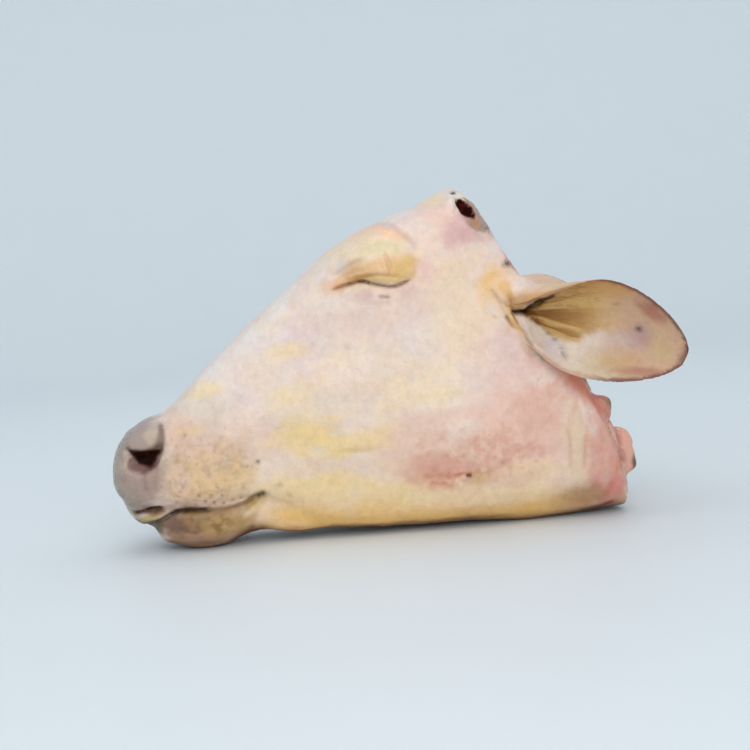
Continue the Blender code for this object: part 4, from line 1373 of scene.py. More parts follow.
def colour_skin(mesh):
    """Paints the head and stores its colour and the masks that its material reads."""
    points, normals, left, flat, folded, ear, root = survey(mesh)
    off_ear = (1 - ear["on"] * ease(ear["along"], 0.12, 0.3)) * (1 - root)
    sideways = ease(folded[:, 1], 0.35, -0.15) * off_ear
    front = ease(flat[:, 0], -225, -245)
    back = ease(flat[:, 0], 205, 235) * ease(flat[:, 1], 150, 140)
    wrapped = np.maximum(sideways, np.maximum(front, back))
    paint = Paint(points, "cream")
    # Painted highlight: skin that faces up is turned paler and greyer for the light from above, on
    # the crown and along the top of the nose.
    crown = ease(normals[:, 2], 0.15, 0.7)
    paint.lay("crown highlight", 0.75 * crown * ease(flat[:, 0], -60, 0) * off_ear)
    paint.lay("bridge highlight", 0.85 * crown * ease(flat[:, 0], 0, -60) * off_ear)
    # Brown ochre on the low skin that faces down: partly its own colour, partly painted shade.
    ochre_and_shade_facing_down = ease(normals[:, 2], -0.25, -0.75) * ease(flat[:, 1], 60, 40) * off_ear
    paint.lay("brown ochre", 0.8 * ochre_and_shade_facing_down * ease(flat[:, 0], -190, -160))
    paint_skin(paint, flat, wrapped)
    cut = ease(normals[:, 0], 0.35, 0.7) * ease(flat[:, 0], 128, 138) * off_ear
    paint.lay("raw edge", 0.85 * cut * ease(flat[:, 0], 250, 240))
    paint.lay("edge red", 0.9 * cut * ease(flat[:, 1], 100, 125) * ease(flat[:, 1], 185, 160))
    # Painted shade on the skin that faces straight down.
    painted_shade_under = ease(normals[:, 2], -0.7, -0.95) * ease(flat[:, 1], 45, 30) * off_ear
    paint.lay("underside shade", 0.75 * painted_shade_under)
    paint_spots(paint, flat, sideways)
    paint_nostrils(paint, flat, ease(folded[:, 0], 0.9, 0.2) * (np.abs(points[:, 1]) > 14))
    paint_ears(paint, flat, ear, root)
    paint_horns(paint, left, flat)
    set_colours(mesh, "skin_colour", paint.colour)
    wet = wrapped * ease(flat[:, 0], -262, -280) + cut
    set_values(mesh, "wet", np.clip(wet, 0, 1))
    bright = paint.colour @ np.array(BRIGHTNESS_SHARES)
    hollow = ease(bright, *HOLLOW_BRIGHTNESS)
    set_values(mesh, "hollow", hollow)
    speckled = wrapped * ease(oval_distance(flat, *SPECKLED_MUZZLE, 0), 1.3, 0.6)
    set_values(mesh, "speckled", speckled * (1 - hollow))


# Materials


def fill(tree, made, inputs):
    """Fills a node's inputs. Each gets a value, or a link from a socket."""
    for key, value in dict(inputs).items():
        if isinstance(value, bpy.types.NodeSocket):
            tree.links.new(value, made.inputs[key])
        else:
            made.inputs[key].default_value = value


def node(tree, kind, inputs=(), **settings):
    """Adds a node with these inputs and settings."""
    made = tree.nodes.new(kind)
    for name, value in settings.items():
        setattr(made, name, value)
    fill(tree, made, inputs)
    return made


def new_material(name):
    """An empty material: its node tree, its shader and the object's coordinates in metres."""
    material = bpy.data.materials.new(name)
    material.use_nodes = True
    tree = material.node_tree
    tree.nodes.clear()
    shader = node(tree, "ShaderNodeBsdfPrincipled")
    node(tree, "ShaderNodeOutputMaterial", {"Surface": shader.outputs["BSDF"]})
    place = node(tree, "ShaderNodeTexCoord").outputs["Object"]
    return material, tree, shader, place


# Sockets of a colour mix by number, because several of them share a name.
MIX_FACTOR, MIX_A, MIX_B, MIX_RESULT = 0, 6, 7, 2
# Sizes and depths of the skin's patterns and the reach of light in it, in millimetres. Real pores
# are 0.3 mm or less, and are drawn coarser, so that they show.
PORE = 1.6
WRINKLE = 5.0
BLOTCH = 9.0
SPECKLE_SIZE = 6.5
SPECKLE_PATCH = 14.0
CAPILLARY = 5.0
COBBLE = 4.6
PORE_DEPTH = 0.1
WRINKLE_DEPTH = 0.9
COBBLE_DEPTH = 0.5
SKIN_LIGHT_REACH = 4.5


def per_metre(size):
    """How many times a pattern of a size in millimetres repeats in a metre."""
    return 1 / (size * MM)


def scalded_skin(settings):
    """Cattle skin, scalded and scraped: bare, moist, and translucent, over pale fat.

    Scraping leaves open pores and fine wrinkles, which break its satin gloss into soft glints.
    Light goes a few millimetres into it, so its shadows are warm and have no hard edge.
    The mouth's gap and the other dark hollows send no glint back.
    """
    material, tree, shader, place = new_material("scalded cattle skin")
    colour = node(tree, "ShaderNodeAttribute", attribute_name="skin_colour").outputs["Color"]
    speckled, wet, hollow = (
        node(tree, "ShaderNodeAttribute", attribute_name=name).outputs["Fac"]
        for name in ("speckled", "wet", "hollow")
    )
    blotch = node(tree, "ShaderNodeTexNoise", {
        "Vector": place, "Scale": per_metre(BLOTCH), "Detail": 3.0, "Roughness": 0.5,
    }).outputs["Fac"]
    paler = node(tree, "ShaderNodeMapRange", {
        "Value": blotch, "From Min": 0.35, "From Max": 0.65, "To Min": 0.955, "To Max": 1.035,
    }).outputs["Result"]
    toned = node(tree, "ShaderNodeVectorMath", {
        0: colour, "Scale": paler,
    }, operation="SCALE").outputs[0]
    veins = node(tree, "ShaderNodeTexNoise", {
        "Vector": place, "Scale": per_metre(CAPILLARY), "Detail": 3.0, "Roughness": 0.55,
        "Distortion": 1.2,
    }).outputs["Fac"]
    flushed = node(tree, "ShaderNodeMapRange", {
        "Value": veins, "From Min": 0.5, "From Max": 0.68, "To Max": settings.flush,
    }).outputs["Result"]
    pinker = node(tree, "ShaderNodeMix", {
        MIX_FACTOR: flushed, MIX_A: toned, MIX_B: linear(TONES["deep pink"]),
    }, data_type="RGBA", blend_type="MULTIPLY").outputs[MIX_RESULT]
    dots = node(tree, "ShaderNodeTexVoronoi", {
        "Vector": place, "Scale": per_metre(SPECKLE_SIZE), "Randomness": 1.0,
    }).outputs["Distance"]
    patchy = node(tree, "ShaderNodeTexNoise", {
        "Vector": place, "Scale": per_metre(SPECKLE_PATCH), "Detail": 2.0,
    }).outputs["Fac"]
    edge = node(tree, "ShaderNodeMapRange", {
        "Value": patchy, "From Min": 0.4, "From Max": 0.7, "To Min": 0.1, "To Max": 0.4,
    }).outputs["Result"]
    dotted = node(tree, "ShaderNodeMath", {0: edge, 1: dots}, operation="SUBTRACT").outputs[0]
    dotted = node(tree, "ShaderNodeMapRange", {
        "Value": dotted, "From Min": 0.0, "From Max": 0.24, "To Max": 0.24,
    }).outputs["Result"]
    dotted = node(tree, "ShaderNodeMath", {0: dotted, 1: speckled}, operation="MULTIPLY").outputs[0]
    speckles = node(tree, "ShaderNodeMix", {
        MIX_FACTOR: dotted, MIX_A: pinker, MIX_B: linear(TONES["whisker root"]),
    }, data_type="RGBA").outputs[MIX_RESULT]
    pores = node(tree, "ShaderNodeTexVoronoi", {
        "Vector": place, "Scale": per_metre(PORE), "Randomness": 0.9,
    }).outputs["Distance"]
    pits = node(tree, "ShaderNodeMapRange", {
        "Value": pores, "From Min": 0.0, "From Max": 0.38,
    }).outputs["Result"]
    wrinkles = node(tree, "ShaderNodeTexNoise", {
        "Vector": place, "Scale": per_metre(WRINKLE), "Detail": 3.0, "Roughness": 0.5,
        "Distortion": 0.6,
    }).outputs["Fac"]
    cobbles = node(tree, "ShaderNodeTexVoronoi", {
        "Vector": place, "Scale": per_metre(COBBLE),
    }, feature="DISTANCE_TO_EDGE").outputs["Distance"]
    cobbled = node(tree, "ShaderNodeMapRange", {
        "Value": cobbles, "From Min": 0.0, "From Max": 0.16,
    }).outputs["Result"]
    cobbled = node(tree, "ShaderNodeMath", {0: cobbled, 1: wet}, operation="MULTIPLY").outputs[0]
    pitted = node(tree, "ShaderNodeBump", {
        "Height": pits, "Distance": PORE_DEPTH * MM, "Strength": 0.55,
    }).outputs["Normal"]
    wrinkled = node(tree, "ShaderNodeBump", {
        "Height": wrinkles, "Distance": WRINKLE_DEPTH * MM, "Strength": 0.5, "Normal": pitted,
    }).outputs["Normal"]
    bumpy = node(tree, "ShaderNodeBump", {
        "Height": cobbled, "Distance": COBBLE_DEPTH * MM, "Strength": 0.6, "Normal": wrinkled,
    }).outputs["Normal"]
    dull = node(tree, "ShaderNodeMapRange", {
        "Value": wrinkles, "From Min": 0.3, "From Max": 0.7, "To Min": 0.38, "To Max": 0.54,
    }).outputs["Result"]
    roughness = node(tree, "ShaderNodeMath", {
        0: wet, 1: -0.16, 2: dull,
    }, operation="MULTIPLY_ADD").outputs[0]
    glint = node(tree, "ShaderNodeMath", {
        0: hollow, 1: -0.45, 2: 0.5,
    }, operation="MULTIPLY_ADD").outputs[0]
    fill(tree, shader, {
        "Base Color": speckles, "Roughness": roughness, "IOR": 1.42, "Normal": bumpy,
        "Specular IOR Level": glint, "Subsurface Weight": settings.depth_of_light,
        "Subsurface Radius": (1.0, 0.42, 0.26), "Subsurface Scale": SKIN_LIGHT_REACH * MM,
    })
    return material


# The cut neck

# Outline of the cut from behind, bottom to top: z and half-width, and how far the flesh stays
# inside it.
CUT_OUTLINE = ((4, 46), (11, 62), (74, 89), (143, 91), (205, 78), (240, 62), (268, 40))
CUT_INSET = 6.5
CUT_MIDDLE = (0, 138)
# The flesh's mesh: rings and spokes, how far and in how many steps a spoke looks for the outline, and
# over how many spokes the outline is evened out.
CUT_RINGS = 96
CUT_SPOKES = 360
CUT_REACH = 170
CUT_STEPS = 681
OUTLINE_SOFTNESS = 9
# How far the flesh stands out from the head's cut face, sinks in at its border, and goes in behind.
CUT_LIFT = 1.4
CUT_SINK = 5
CUT_THICKNESS = 7
RAY_START_X = 400

# How far back the cut is at each height, as (z, x). Scraps of meat stand out beyond it, and their
# tones come in over this distance.
CUT_LINE = ((10, 246), (66, 243), (92, 236), (118, 228), (145, 219), (200, 190), (262, 150))
SCRAP_BEYOND = (2, 8)
SCRAP_COVER = 0.9
# Discoloured patches of the scraps: tone, middle (x, z) and reach in the side view.
SCRAP_TONES = (("olive", (236, 123), (9, 10)), ("dark tip", (264, 52), (6.5, 12)))

# Bundles of muscle cut across, as (y, z) on the left: each is a cell of the pattern.
BUNDLES = (
    (0, 262), (22, 250), (46, 246), (14, 232), (38, 224), (60, 226), (66, 204), (52, 186),
    (70, 172), (40, 160), (18, 150), (0, 168), (60, 146), (78, 150), (80, 120), (62, 112),
    (44, 128), (28, 124), (80, 90), (66, 80), (44, 98), (40, 70), (74, 56), (56, 50),
    (22, 60), (0, 46), (36, 36), (58, 26), (14, 22), (0, 76), (30, 88), (84, 72),
)
# How the bundles' borders wander: size of the bends, how far they go, and their seed.
BORDER_BENDS = ((24, 5.0, 31), (7, 1.6, 33))
# Relief of the cut: how far the bundles swell, how coarse they are, how much of that is smoothed
# away on other things, how deep the pits of the bone are and how far cartilage stands out.
SWELL = 1.7
COARSENESS = 0.5
SMOOTHED_AWAY = 0.8
BONE_PITS = 0.6
CARTILAGE_RISE = 2.2
# Things that aren't muscle, laid on in this order: tone, (y, z) and radii.
CUT_PARTS = (
    ("bone", (28, 200), (20, 23)), ("bone", (0, 214), (26, 22)), ("cartilage", (0, 100), (27, 28)),
    ("sinew", (0, 256), (8, 10)), ("gland", (64, 170), (12, 14)), ("gullet", (0, 140), (14, 7)),
    # The spinal canal and the windpipe are flat: their dark tones are painted shade for their
    # openings.
    ("canal", (0, 214), (13, 11)), ("airway", (0, 100), (16, 18)),
)
FLESH_TONES = {
    "muscle": "#b3645a",
    "pale muscle": "#c98d7e",
    "fascia": "#dfc0ae",
    "fat": "#d9ad98",
    "bone": "#e0ccb0",
    "marrow": "#b0584a",
    "cartilage": "#dfd2cd",
    "sinew": "#e2d09f",
    "gland": "#cf9a86",
    "gullet": "#c98478",
    # Painted shade for the openings of the spinal canal and of the windpipe:
    "canal": "#4d1a15",
    "airway": "#5e211c",
    "dry edge": "#8c4b3b",
    "scrap": "#e4ad99",
    "olive": "#75643f",
    "dark tip": "#4a3430",
}


def cut_half_width(z):
    """Half the width of the flesh at each height of the cut."""
    return read_off(CUT_OUTLINE, z) - CUT_INSET


def cut_grid():
    """Rings of (y, z) from the middle of the cut out to the flesh's outline, 0 to 1."""
    bottom, top = CUT_OUTLINE[0][0] + CUT_INSET, CUT_OUTLINE[-1][0] - CUT_INSET
    angles = np.linspace(0, 2 * math.pi, CUT_SPOKES, endpoint=False)
    rays = np.column_stack([np.cos(angles), np.sin(angles)])
    steps = np.linspace(0, CUT_REACH, CUT_STEPS)
    middle = np.array(CUT_MIDDLE, float)
    reach = []
    for ray in rays:
        spots = middle + steps[:, None] * ray
        inside = (np.abs(spots[:, 0]) < cut_half_width(spots[:, 1])) & (spots[:, 1] > bottom)
        inside &= spots[:, 1] < top
        reach.append(steps[np.argmin(inside) - 1])
    even = np.ones(OUTLINE_SOFTNESS) / OUTLINE_SOFTNESS
    reach = np.convolve(np.tile(reach, 3), even, "same")[CUT_SPOKES : 2 * CUT_SPOKES]
    shares = np.linspace(1 / CUT_RINGS, 1, CUT_RINGS)
    return middle + shares[:, None, None] * reach[None, :, None] * rays[None], shares


def bundle_cells(flat):
    """For each point of the cut: its bundle's number and how far it is from the bundle's edge."""
    spots = np.array([(y * side, z) for y, z in BUNDLES for side in (-1, 1)], float)
    solid = np.column_stack([flat, np.zeros(len(flat))])
    bent = flat
    for size, far, seed in BORDER_BENDS:
        bent = bent + far * np.column_stack([lumps(solid, size, seed), lumps(solid, size, seed + 1)])
    away = np.linalg.norm(bent[:, None] - spots[None], axis=2)
    order = np.sort(away, axis=1)
    return np.argmin(away, axis=1), order[:, 1] - order[:, 0]


def flesh_look(flat, shares):
    """Relief and colour of the cut flesh at each (y, z)."""
    cell, edge = bundle_cells(flat)
    solid = np.column_stack([flat, np.zeros(len(flat))])
    tone = {name: rgb(code) for name, code in FLESH_TONES.items()}
    own = lattice(np.column_stack([cell, cell, cell]), 3)
    pale = np.clip(0.45 + 0.35 * own + 0.4 * cloudy(solid, 8, 36), 0, 1)
    colour = laid_over(tone["muscle"], tone["pale muscle"], pale)
    relief = SWELL * ease(edge, 0, 9) + COARSENESS * cloudy(solid, 4.5, 37) * ease(edge, 1, 4)
    fat_width = 2.0 + 1.6 * lumps(solid, 30, 38)
    colour = laid_over(colour, tone["fascia"], ease(edge, fat_width, fat_width * 0.35))
    for i, (name, (y, z), radii) in enumerate(CUT_PARTS):
        away = np.hypot((np.abs(flat[:, 0]) - y) / radii[0], (flat[:, 1] - z) / radii[1])
        mask = ease(away + 0.12 * lumps(solid, 6, 50 + i), 1.06, 0.92)
        colour = laid_over(colour, tone[name], mask)
        relief = relief * (1 - SMOOTHED_AWAY * mask)
        if name == "bone":
            pores = mask * ease(lumps(solid, 2.6, 44), 0.15, 0.6)
            colour = laid_over(colour, tone["marrow"], 0.7 * pores)
            relief -= BONE_PITS * pores
        elif name == "cartilage":
            relief += CARTILAGE_RISE * mask
    border = ease(shares, 0.9, 0.98) * ease(cloudy(solid, 12, 46), -0.3, 0.2)
    colour = laid_over(colour, tone["fat"], border)
    dry = 0.5 * ease(cloudy(solid, 20, 48), 0.15, 0.5)
    return relief, laid_over(colour, colour * tone["dry edge"] * 1.6, dry)


def flesh_mesh(head_mesh):
    """The cut flesh: a relief that follows the head's cut face, closed at the back."""
    head_tree = surface_tree(head_mesh)
    grid, shares = cut_grid()
    flat = np.concatenate([np.array([CUT_MIDDLE], float), grid.reshape(-1, 2)])
    ring_share = np.concatenate([[0.0], np.repeat(shares, CUT_SPOKES)])
    back = Vector((-1, 0, 0))
    x = np.array([
        head_tree.ray_cast(Vector((RAY_START_X, y, z)) * MM, back)[0].x / MM for y, z in flat
    ])
    relief, colour = flesh_look(flat, ring_share)
    beyond = x - read_off(CUT_LINE, flat[:, 1])
    scrap = ease(beyond, *SCRAP_BEYOND)
    colour = laid_over(colour, rgb(FLESH_TONES["scrap"]), SCRAP_COVER * scrap)
    side_view = np.column_stack([x, flat[:, 1]])
    for name, at, reach in SCRAP_TONES:
        patch = ease(oval_distance(side_view, at, reach, 0), 1.3, 0.6)
        colour = laid_over(colour, rgb(FLESH_TONES[name]), SCRAP_COVER * scrap * patch)
    sunk = ease(ring_share, 0.94, 1.0) * CUT_SINK
    front = np.column_stack([x + CUT_LIFT + relief - sunk, flat])
    rear = np.column_stack([x - CUT_THICKNESS, flat])
    faces = []
    count = len(flat)
    for offset, flipped in ((0, False), (count, True)):
        for j, k in ring_pairs(CUT_SPOKES):
            fan = (offset, offset + 1 + j, offset + 1 + k)
            faces.append(fan[::-1] if flipped else fan)
            for ring in range(CUT_RINGS - 1):
                a = offset + 1 + ring * CUT_SPOKES
                b = a + CUT_SPOKES
                quad = (a + j, b + j, b + k, a + k)
                faces.append(quad[::-1] if flipped else quad)
    rim = 1 + (CUT_RINGS - 1) * CUT_SPOKES
    for j, k in ring_pairs(CUT_SPOKES):
        faces.append((rim + j, count + rim + j, count + rim + k, rim + k))
    mesh = mesh_from("cut_flesh", np.concatenate([front, rear]), faces)
    set_colours(mesh, "flesh_colour", np.concatenate([colour, colour]))
    return mesh


# Size and depth of the flesh's fibres, and the reach of light in it.
FIBRE = 1.3
FIBRE_DEPTH = 0.6
FLESH_LIGHT_REACH = 3.0


def raw_flesh():
    """Raw muscle, fat and bone, cut across and rinsed: wet, so it glints along its fibres."""
    material, tree, shader, place = new_material("cut raw flesh")
    colour = node(tree, "ShaderNodeAttribute", attribute_name="flesh_colour").outputs["Color"]
    fibres = node(tree, "ShaderNodeTexNoise", {
        "Vector": place, "Scale": per_metre(FIBRE), "Detail": 4.0, "Roughness": 0.6,
    }).outputs["Fac"]
    tint = node(tree, "ShaderNodeMapRange", {
        "Value": fibres, "From Min": 0.3, "From Max": 0.7, "To Min": 0.82, "To Max": 1.14,
    }).outputs["Result"]
    toned = node(tree, "ShaderNodeVectorMath", {
        0: colour, "Scale": tint,
    }, operation="SCALE").outputs[0]
    bumpy = node(tree, "ShaderNodeBump", {
        "Height": fibres, "Distance": FIBRE_DEPTH * MM, "Strength": 0.6,
    }).outputs["Normal"]
    fill(tree, shader, {
        "Base Color": toned, "Roughness": 0.32, "IOR": 1.38, "Normal": bumpy,
        "Subsurface Weight": 0.12, "Subsurface Radius": (1.0, 0.3, 0.2),
        "Subsurface Scale": FLESH_LIGHT_REACH * MM,
    })
    return material


# Hair

# Size of the locks in which the hair's tone varies, how much a hair thins to its tip, and a way that
# no hair lies in.
HAIR_LOCK = 2.5
HAIR_TAPER = 0.85
NO_HAIR_WAY = (0.3, 0.2, 0.93)
# The ears' hair: radius of a hair, how far from the middle of the fan it grows and from which x on,
# how far its roots are scattered and sunk in, how hairs stray, rise and droop, and their lengths.
EAR_HAIR = {
    "radius": 0.16, "reach": (24, 88), "from_x": 150, "scatter": 1.5, "sunk": 0.3, "stray": 0.12,
    "rise": (0.04, 0.16), "droop": 0.08, "lengths": (0.5, 1.3),
}
EAR_HAIR_SEED = 23
# The tufts' hair in the same words. It is also drawn upright, out of the skin.
TUFT_HAIR = {
    "radius": 0.13, "sunk": 0.4, "upright": 0.5, "stray": 0.25, "droop": 0.15, "lengths": (0.4, 1.2),
}
TUFT_SEED = 29

# Tufts that were left: middle on the left side, spread, way that they point, count and length.
TUFTS = {
    "above the horn": {
        "at": (87, -50, 365), "spread": (4, 9, 2), "way": (0.25, -0.3, 0.9), "count": 150,
        "length": 4.5,
    },
    "behind the horn": {
        "at": (118, -72, 318), "spread": (5, 7, 9), "way": (0.8, -0.3, 0.3), "count": 90,
        "length": 3.5,
    },
    "ear base": {
        "at": (134, -80, 281), "spread": (7, 5, 3), "way": (0.35, -0.4, 0.8), "count": 110,
        "length": 4,
    },
}


def strand(root, direction, length, radius, droop, sides=3, steps=5):
    """One tapered hair: its vertices and faces."""
    points, faces = [], []
    direction = direction / np.linalg.norm(direction)
    across = np.cross(direction, NO_HAIR_WAY)
    across /= np.linalg.norm(across)
    other = np.cross(direction, across)
    for step in range(steps):
        share = step / (steps - 1)
        middle = root + direction * length * share + np.array(droop) * length * share**2
        thickness = radius * (1 - HAIR_TAPER * share)
        for side in range(sides):
            angle = 2 * math.pi * side / sides
            points.append(middle + thickness * (across * math.cos(angle) + other * math.sin(angle)))
    for step in range(steps - 1):
        for j, k in ring_pairs(sides):
            a, b = step * sides + j, step * sides + k
            faces.append((a, b, b + sides, a + sides))
    faces.append(tuple(range(sides))[::-1])
    faces.append(tuple(range((steps - 1) * sides, steps * sides)))
    return points, faces


def hair_mesh(name, strands):
    """One mesh of many hairs."""
    vertices, faces = [], []
    for points, own in strands:
        start = len(vertices)
        vertices.extend(points)
        faces.extend(tuple(i + start for i in face) for face in own)
    return mesh_from(name, vertices, faces)


def cattle_hair(name, colour):
    """Short cattle hair that the scraper missed: wet, stiff and a little glossy.

    Its tone goes from darker to paler within a few hairs, as in any coat.
    """
    material, tree, shader, place = new_material(name)
    locks = node(tree, "ShaderNodeTexNoise", {
        "Vector": place, "Scale": per_metre(HAIR_LOCK), "Detail": 2.0,
    }).outputs["Fac"]
    shade = node(tree, "ShaderNodeMapRange", {
        "Value": locks, "From Min": 0.3, "From Max": 0.7, "To Min": 0.7, "To Max": 1.3,
    }).outputs["Result"]
    toned = node(tree, "ShaderNodeVectorMath", {
        0: colour[:3], "Scale": shade,
    }, operation="SCALE").outputs[0]
    fill(tree, shader, {"Base Color": toned, "Roughness": 0.45, "IOR": 1.55})
    return material


def snapped(tree, point, lift):
    """The nearest place on the head's surface, lifted off it, and the surface's way out."""
    place, normal, _, _ = tree.find_nearest(Vector(point) * MM)
    normal = np.array(normal)
    return np.array(place) / MM + normal * lift, normal


def ear_hairs(tree, count, length):
    """Fine hair lying in the fan of grooves inside both ears."""
    rng = np.random.default_rng(EAR_HAIR_SEED)
    chart = ear_chart()
    inner = chart["point"] + chart["inward"] * chart["thick"][:, None] / 2
    flat = inner[:, [0, 2]]
    _, reach = fan_of(flat)
    low = read_off(EAR_FAN_LOW, flat[:, 0])
    nearest, farthest = EAR_HAIR["reach"]
    fits = (flat[:, 1] > low + 3) & (reach > nearest) & (reach < farthest)
    fits &= (np.abs(chart["across"]) < 0.85) & (flat[:, 0] > EAR_HAIR["from_x"])
    choices = np.nonzero(fits)[0]
    strands = []
    for _ in range(count):
        i = choices[rng.integers(len(choices))]
        side = rng.choice((-1, 1))
        flip = np.array([1, -side, 1])
        root = (inner[i] + rng.normal(0, EAR_HAIR["scatter"], 3)) * flip
        root, normal = snapped(tree, root, -EAR_HAIR["sunk"])
        outward = np.array([flat[i, 0] - FAN_MIDDLE[0], 0, flat[i, 1] - FAN_MIDDLE[1]])
        outward = outward / np.linalg.norm(outward) + rng.normal(0, EAR_HAIR["stray"], 3)
        outward -= normal * (outward @ normal)
        way = outward / np.linalg.norm(outward) + normal * rng.uniform(*EAR_HAIR["rise"])
        long = length * rng.uniform(*EAR_HAIR["lengths"])
        strands.append(strand(root, way, long, EAR_HAIR["radius"], -normal * EAR_HAIR["droop"]))
    return strands


def tufts(tree):
    """Short tufts that the scraper left at the horns and the ears' bases."""
    rng = np.random.default_rng(TUFT_SEED)
    strands = []
    for tuft in TUFTS.values():
        for _ in range(tuft["count"]):
            flip = np.array([1, -rng.choice((-1, 1)), 1])
            root = (np.array(tuft["at"]) + rng.normal(0, 0.5, 3) * tuft["spread"]) * flip
            root, normal = snapped(tree, root, -TUFT_HAIR["sunk"])
            way = np.array(tuft["way"]) * flip + normal * TUFT_HAIR["upright"]
            way = way + rng.normal(0, TUFT_HAIR["stray"], 3)
            long = tuft["length"] * rng.uniform(*TUFT_HAIR["lengths"])
            strands.append(strand(root, way, long, TUFT_HAIR["radius"], (0, 0, -TUFT_HAIR["droop"])))
    return strands


# Stage

# The camera: the picture's side in pixels, turns in degrees, distance in metres, lens in millimetres.
PICTURE_SIZE = 750
TURN = -6.0
RAISE = 5.0
ROLL = 4.6
DISTANCE = 1.75
LENS = 76.0
SENSOR = 36.0
TARGET = (-0.005, 0.0, 0.175)
TARGET_PIXEL = (376, 369)
# Name, place, aim and size in metres, and colour of each light.
LIGHTS = (
    ("key", (-0.7, -0.5, 2.3), (0, 0, 0.1), 2.2, "#ffffff"),
    ("fill", (0.0, -2.4, 0.9), (0, 0, 0.15), 1.8, "#fbf7f2"),
    ("wall", (0, 1.2, 2.4), (0, 3.4, 0.8), 3.0, "#ffffff"),
)
AIR_COLOUR = "#e6edf2"
AIR_STRENGTH = 0.9
ROLLER_MARKS = 120.0
# The floor in metres: its flat rings, and the bend and the wall round it.
FLAT_FLOOR = (0.5, 1.2)
BOWL_RADIUS = 3.4
BOWL_BEND = 1.2
BOWL_HEIGHT = 3.2
BOWL_SEGMENTS = 96
BEND_STEPS = 12


def make_camera():
    """The camera, turned and shifted so that the target falls on its pixel."""
    turn, tilt = math.radians(TURN), math.radians(RAISE)
    back = Vector((math.sin(turn) * math.cos(tilt), -math.cos(turn) * math.cos(tilt), math.sin(tilt)))
    data = bpy.data.cameras.new("camera")
    data.lens = LENS
    data.sensor_width = SENSOR
    data.shift_x = (PICTURE_SIZE / 2 - TARGET_PIXEL[0]) / PICTURE_SIZE
    data.shift_y = (TARGET_PIXEL[1] - PICTURE_SIZE / 2) / PICTURE_SIZE
    camera = bpy.data.objects.new("camera", data)
    camera.location = Vector(TARGET) + back * DISTANCE
    camera.rotation_mode = "QUATERNION"
    roll = Matrix.Rotation(math.radians(-ROLL), 4, "Z").to_quaternion()
    camera.rotation_quaternion = (-back).to_track_quat("-Z", "Y") @ roll
    bpy.context.scene.collection.objects.link(camera)
    bpy.context.scene.camera = camera


def make_light(name, place, aim, size, power, colour):
    """A large square soft light."""
    data = bpy.data.lights.new(name, "AREA")
    data.size = size
    data.energy = power
    data.color = linear(colour)[:3]
    light = bpy.data.objects.new(name, data)
    light.location = place
    light.rotation_euler = (Vector(aim) - Vector(place)).to_track_quat("-Z", "Y").to_euler()
    bpy.context.scene.collection.objects.link(light)


def bowl_profile():
    """Radius and height of the stage, from its middle out and up its wall."""
    profile = [(radius, 0.0) for radius in FLAT_FLOOR]
    for step in range(BEND_STEPS + 1):
        angle = 0.5 * math.pi * step / BEND_STEPS
        radius = BOWL_RADIUS - BOWL_BEND * (1 - math.sin(angle))
        profile.append((radius, BOWL_BEND * (1 - math.cos(angle))))
    profile.append((BOWL_RADIUS, BOWL_HEIGHT))
    return profile


def bowl_mesh():
    """A round floor whose edge bends up into a wall."""
    bm = bmesh.new()
    middle = bm.verts.new((0, 0, 0))
    rings = []
    for radius, height in bowl_profile():
        ring = []
        for j in range(BOWL_SEGMENTS):
            angle = 2 * math.pi * j / BOWL_SEGMENTS
            ring.append(bm.verts.new((radius * math.cos(angle), radius * math.sin(angle), height)))
        rings.append(ring)
    for j, k in ring_pairs(BOWL_SEGMENTS):
        bm.faces.new((middle, rings[0][j], rings[0][k]))
        for inner, outer in zip(rings, rings[1:]):
            bm.faces.new((inner[j], outer[j], outer[k], inner[k]))
    mesh = bpy.data.meshes.new("stage")
    bm.to_mesh(mesh)
    bm.free()
    mesh.shade_smooth()
    return mesh


def painted_board(colour):
    """Board painted a pale cool white: matt, with a very faint unevenness from the roller.

    It shows in the gloss, and by less than one part in a hundred in the tone.
    """
    material, tree, shader, place = new_material("matt painted board")
    uneven = node(tree, "ShaderNodeTexNoise", {
        "Vector": place, "Scale": per_metre(ROLLER_MARKS), "Detail": 3.0,
    }).outputs["Fac"]
    roughness = node(tree, "ShaderNodeMapRange", {
        "Value": uneven, "To Min": 0.5, "To Max": 0.62,
    }).outputs["Result"]
    cover = node(tree, "ShaderNodeMapRange", {
        "Value": uneven, "To Min": 0.99, "To Max": 1.01,
    }).outputs["Result"]
    toned = node(tree, "ShaderNodeVectorMath", {
        0: colour[:3], "Scale": cover,
    }, operation="SCALE").outputs[0]
    fill(tree, shader, {"Base Color": toned, "Roughness": roughness})
    return material


# What a user can change


class BeefSkinSettings(bpy.types.PropertyGroup):
    """Mesh and finish of the skin."""

    grid: bpy.props.FloatProperty(
        name="Grid", description="Size of the faces that the skin is sculpted with",
        default=0.0014, min=0.001, max=0.01, unit="LENGTH", subtype="DISTANCE",
    )
    triangles: bpy.props.IntProperty(
        name="Triangles", description="Triangles that the sculpted skin is thinned to",
        default=196000, min=10000, max=198000,
    )
    flush: bpy.props.FloatProperty(
        name="Flush", description="How much the small veins redden the skin",
        default=0.1, min=0, max=1, subtype="FACTOR",
    )
    depth_of_light: bpy.props.FloatProperty(
        name="Depth of light", description="How much of the light goes into the skin",
        default=0.22, min=0, max=1, subtype="FACTOR",
    )


class BeefHairSettings(bpy.types.PropertyGroup):
    """Hair that the scraper missed."""

    ear_count: bpy.props.IntProperty(
        name="Ear hairs", description="Number of hairs in both ears", default=1100, min=10, max=4000,
    )
    ear_length: bpy.props.FloatProperty(
        name="Ear hair length", description="Mean length of the hair in the ears",
        default=0.011, min=0.001, max=0.05, unit="LENGTH", subtype="DISTANCE",
    )
    ear_colour: bpy.props.FloatVectorProperty(
        name="Ear hair colour", description="Colour of the hair in the ears",
        default=linear("#9c7544"), size=4, min=0, max=1, subtype="COLOR",
    )


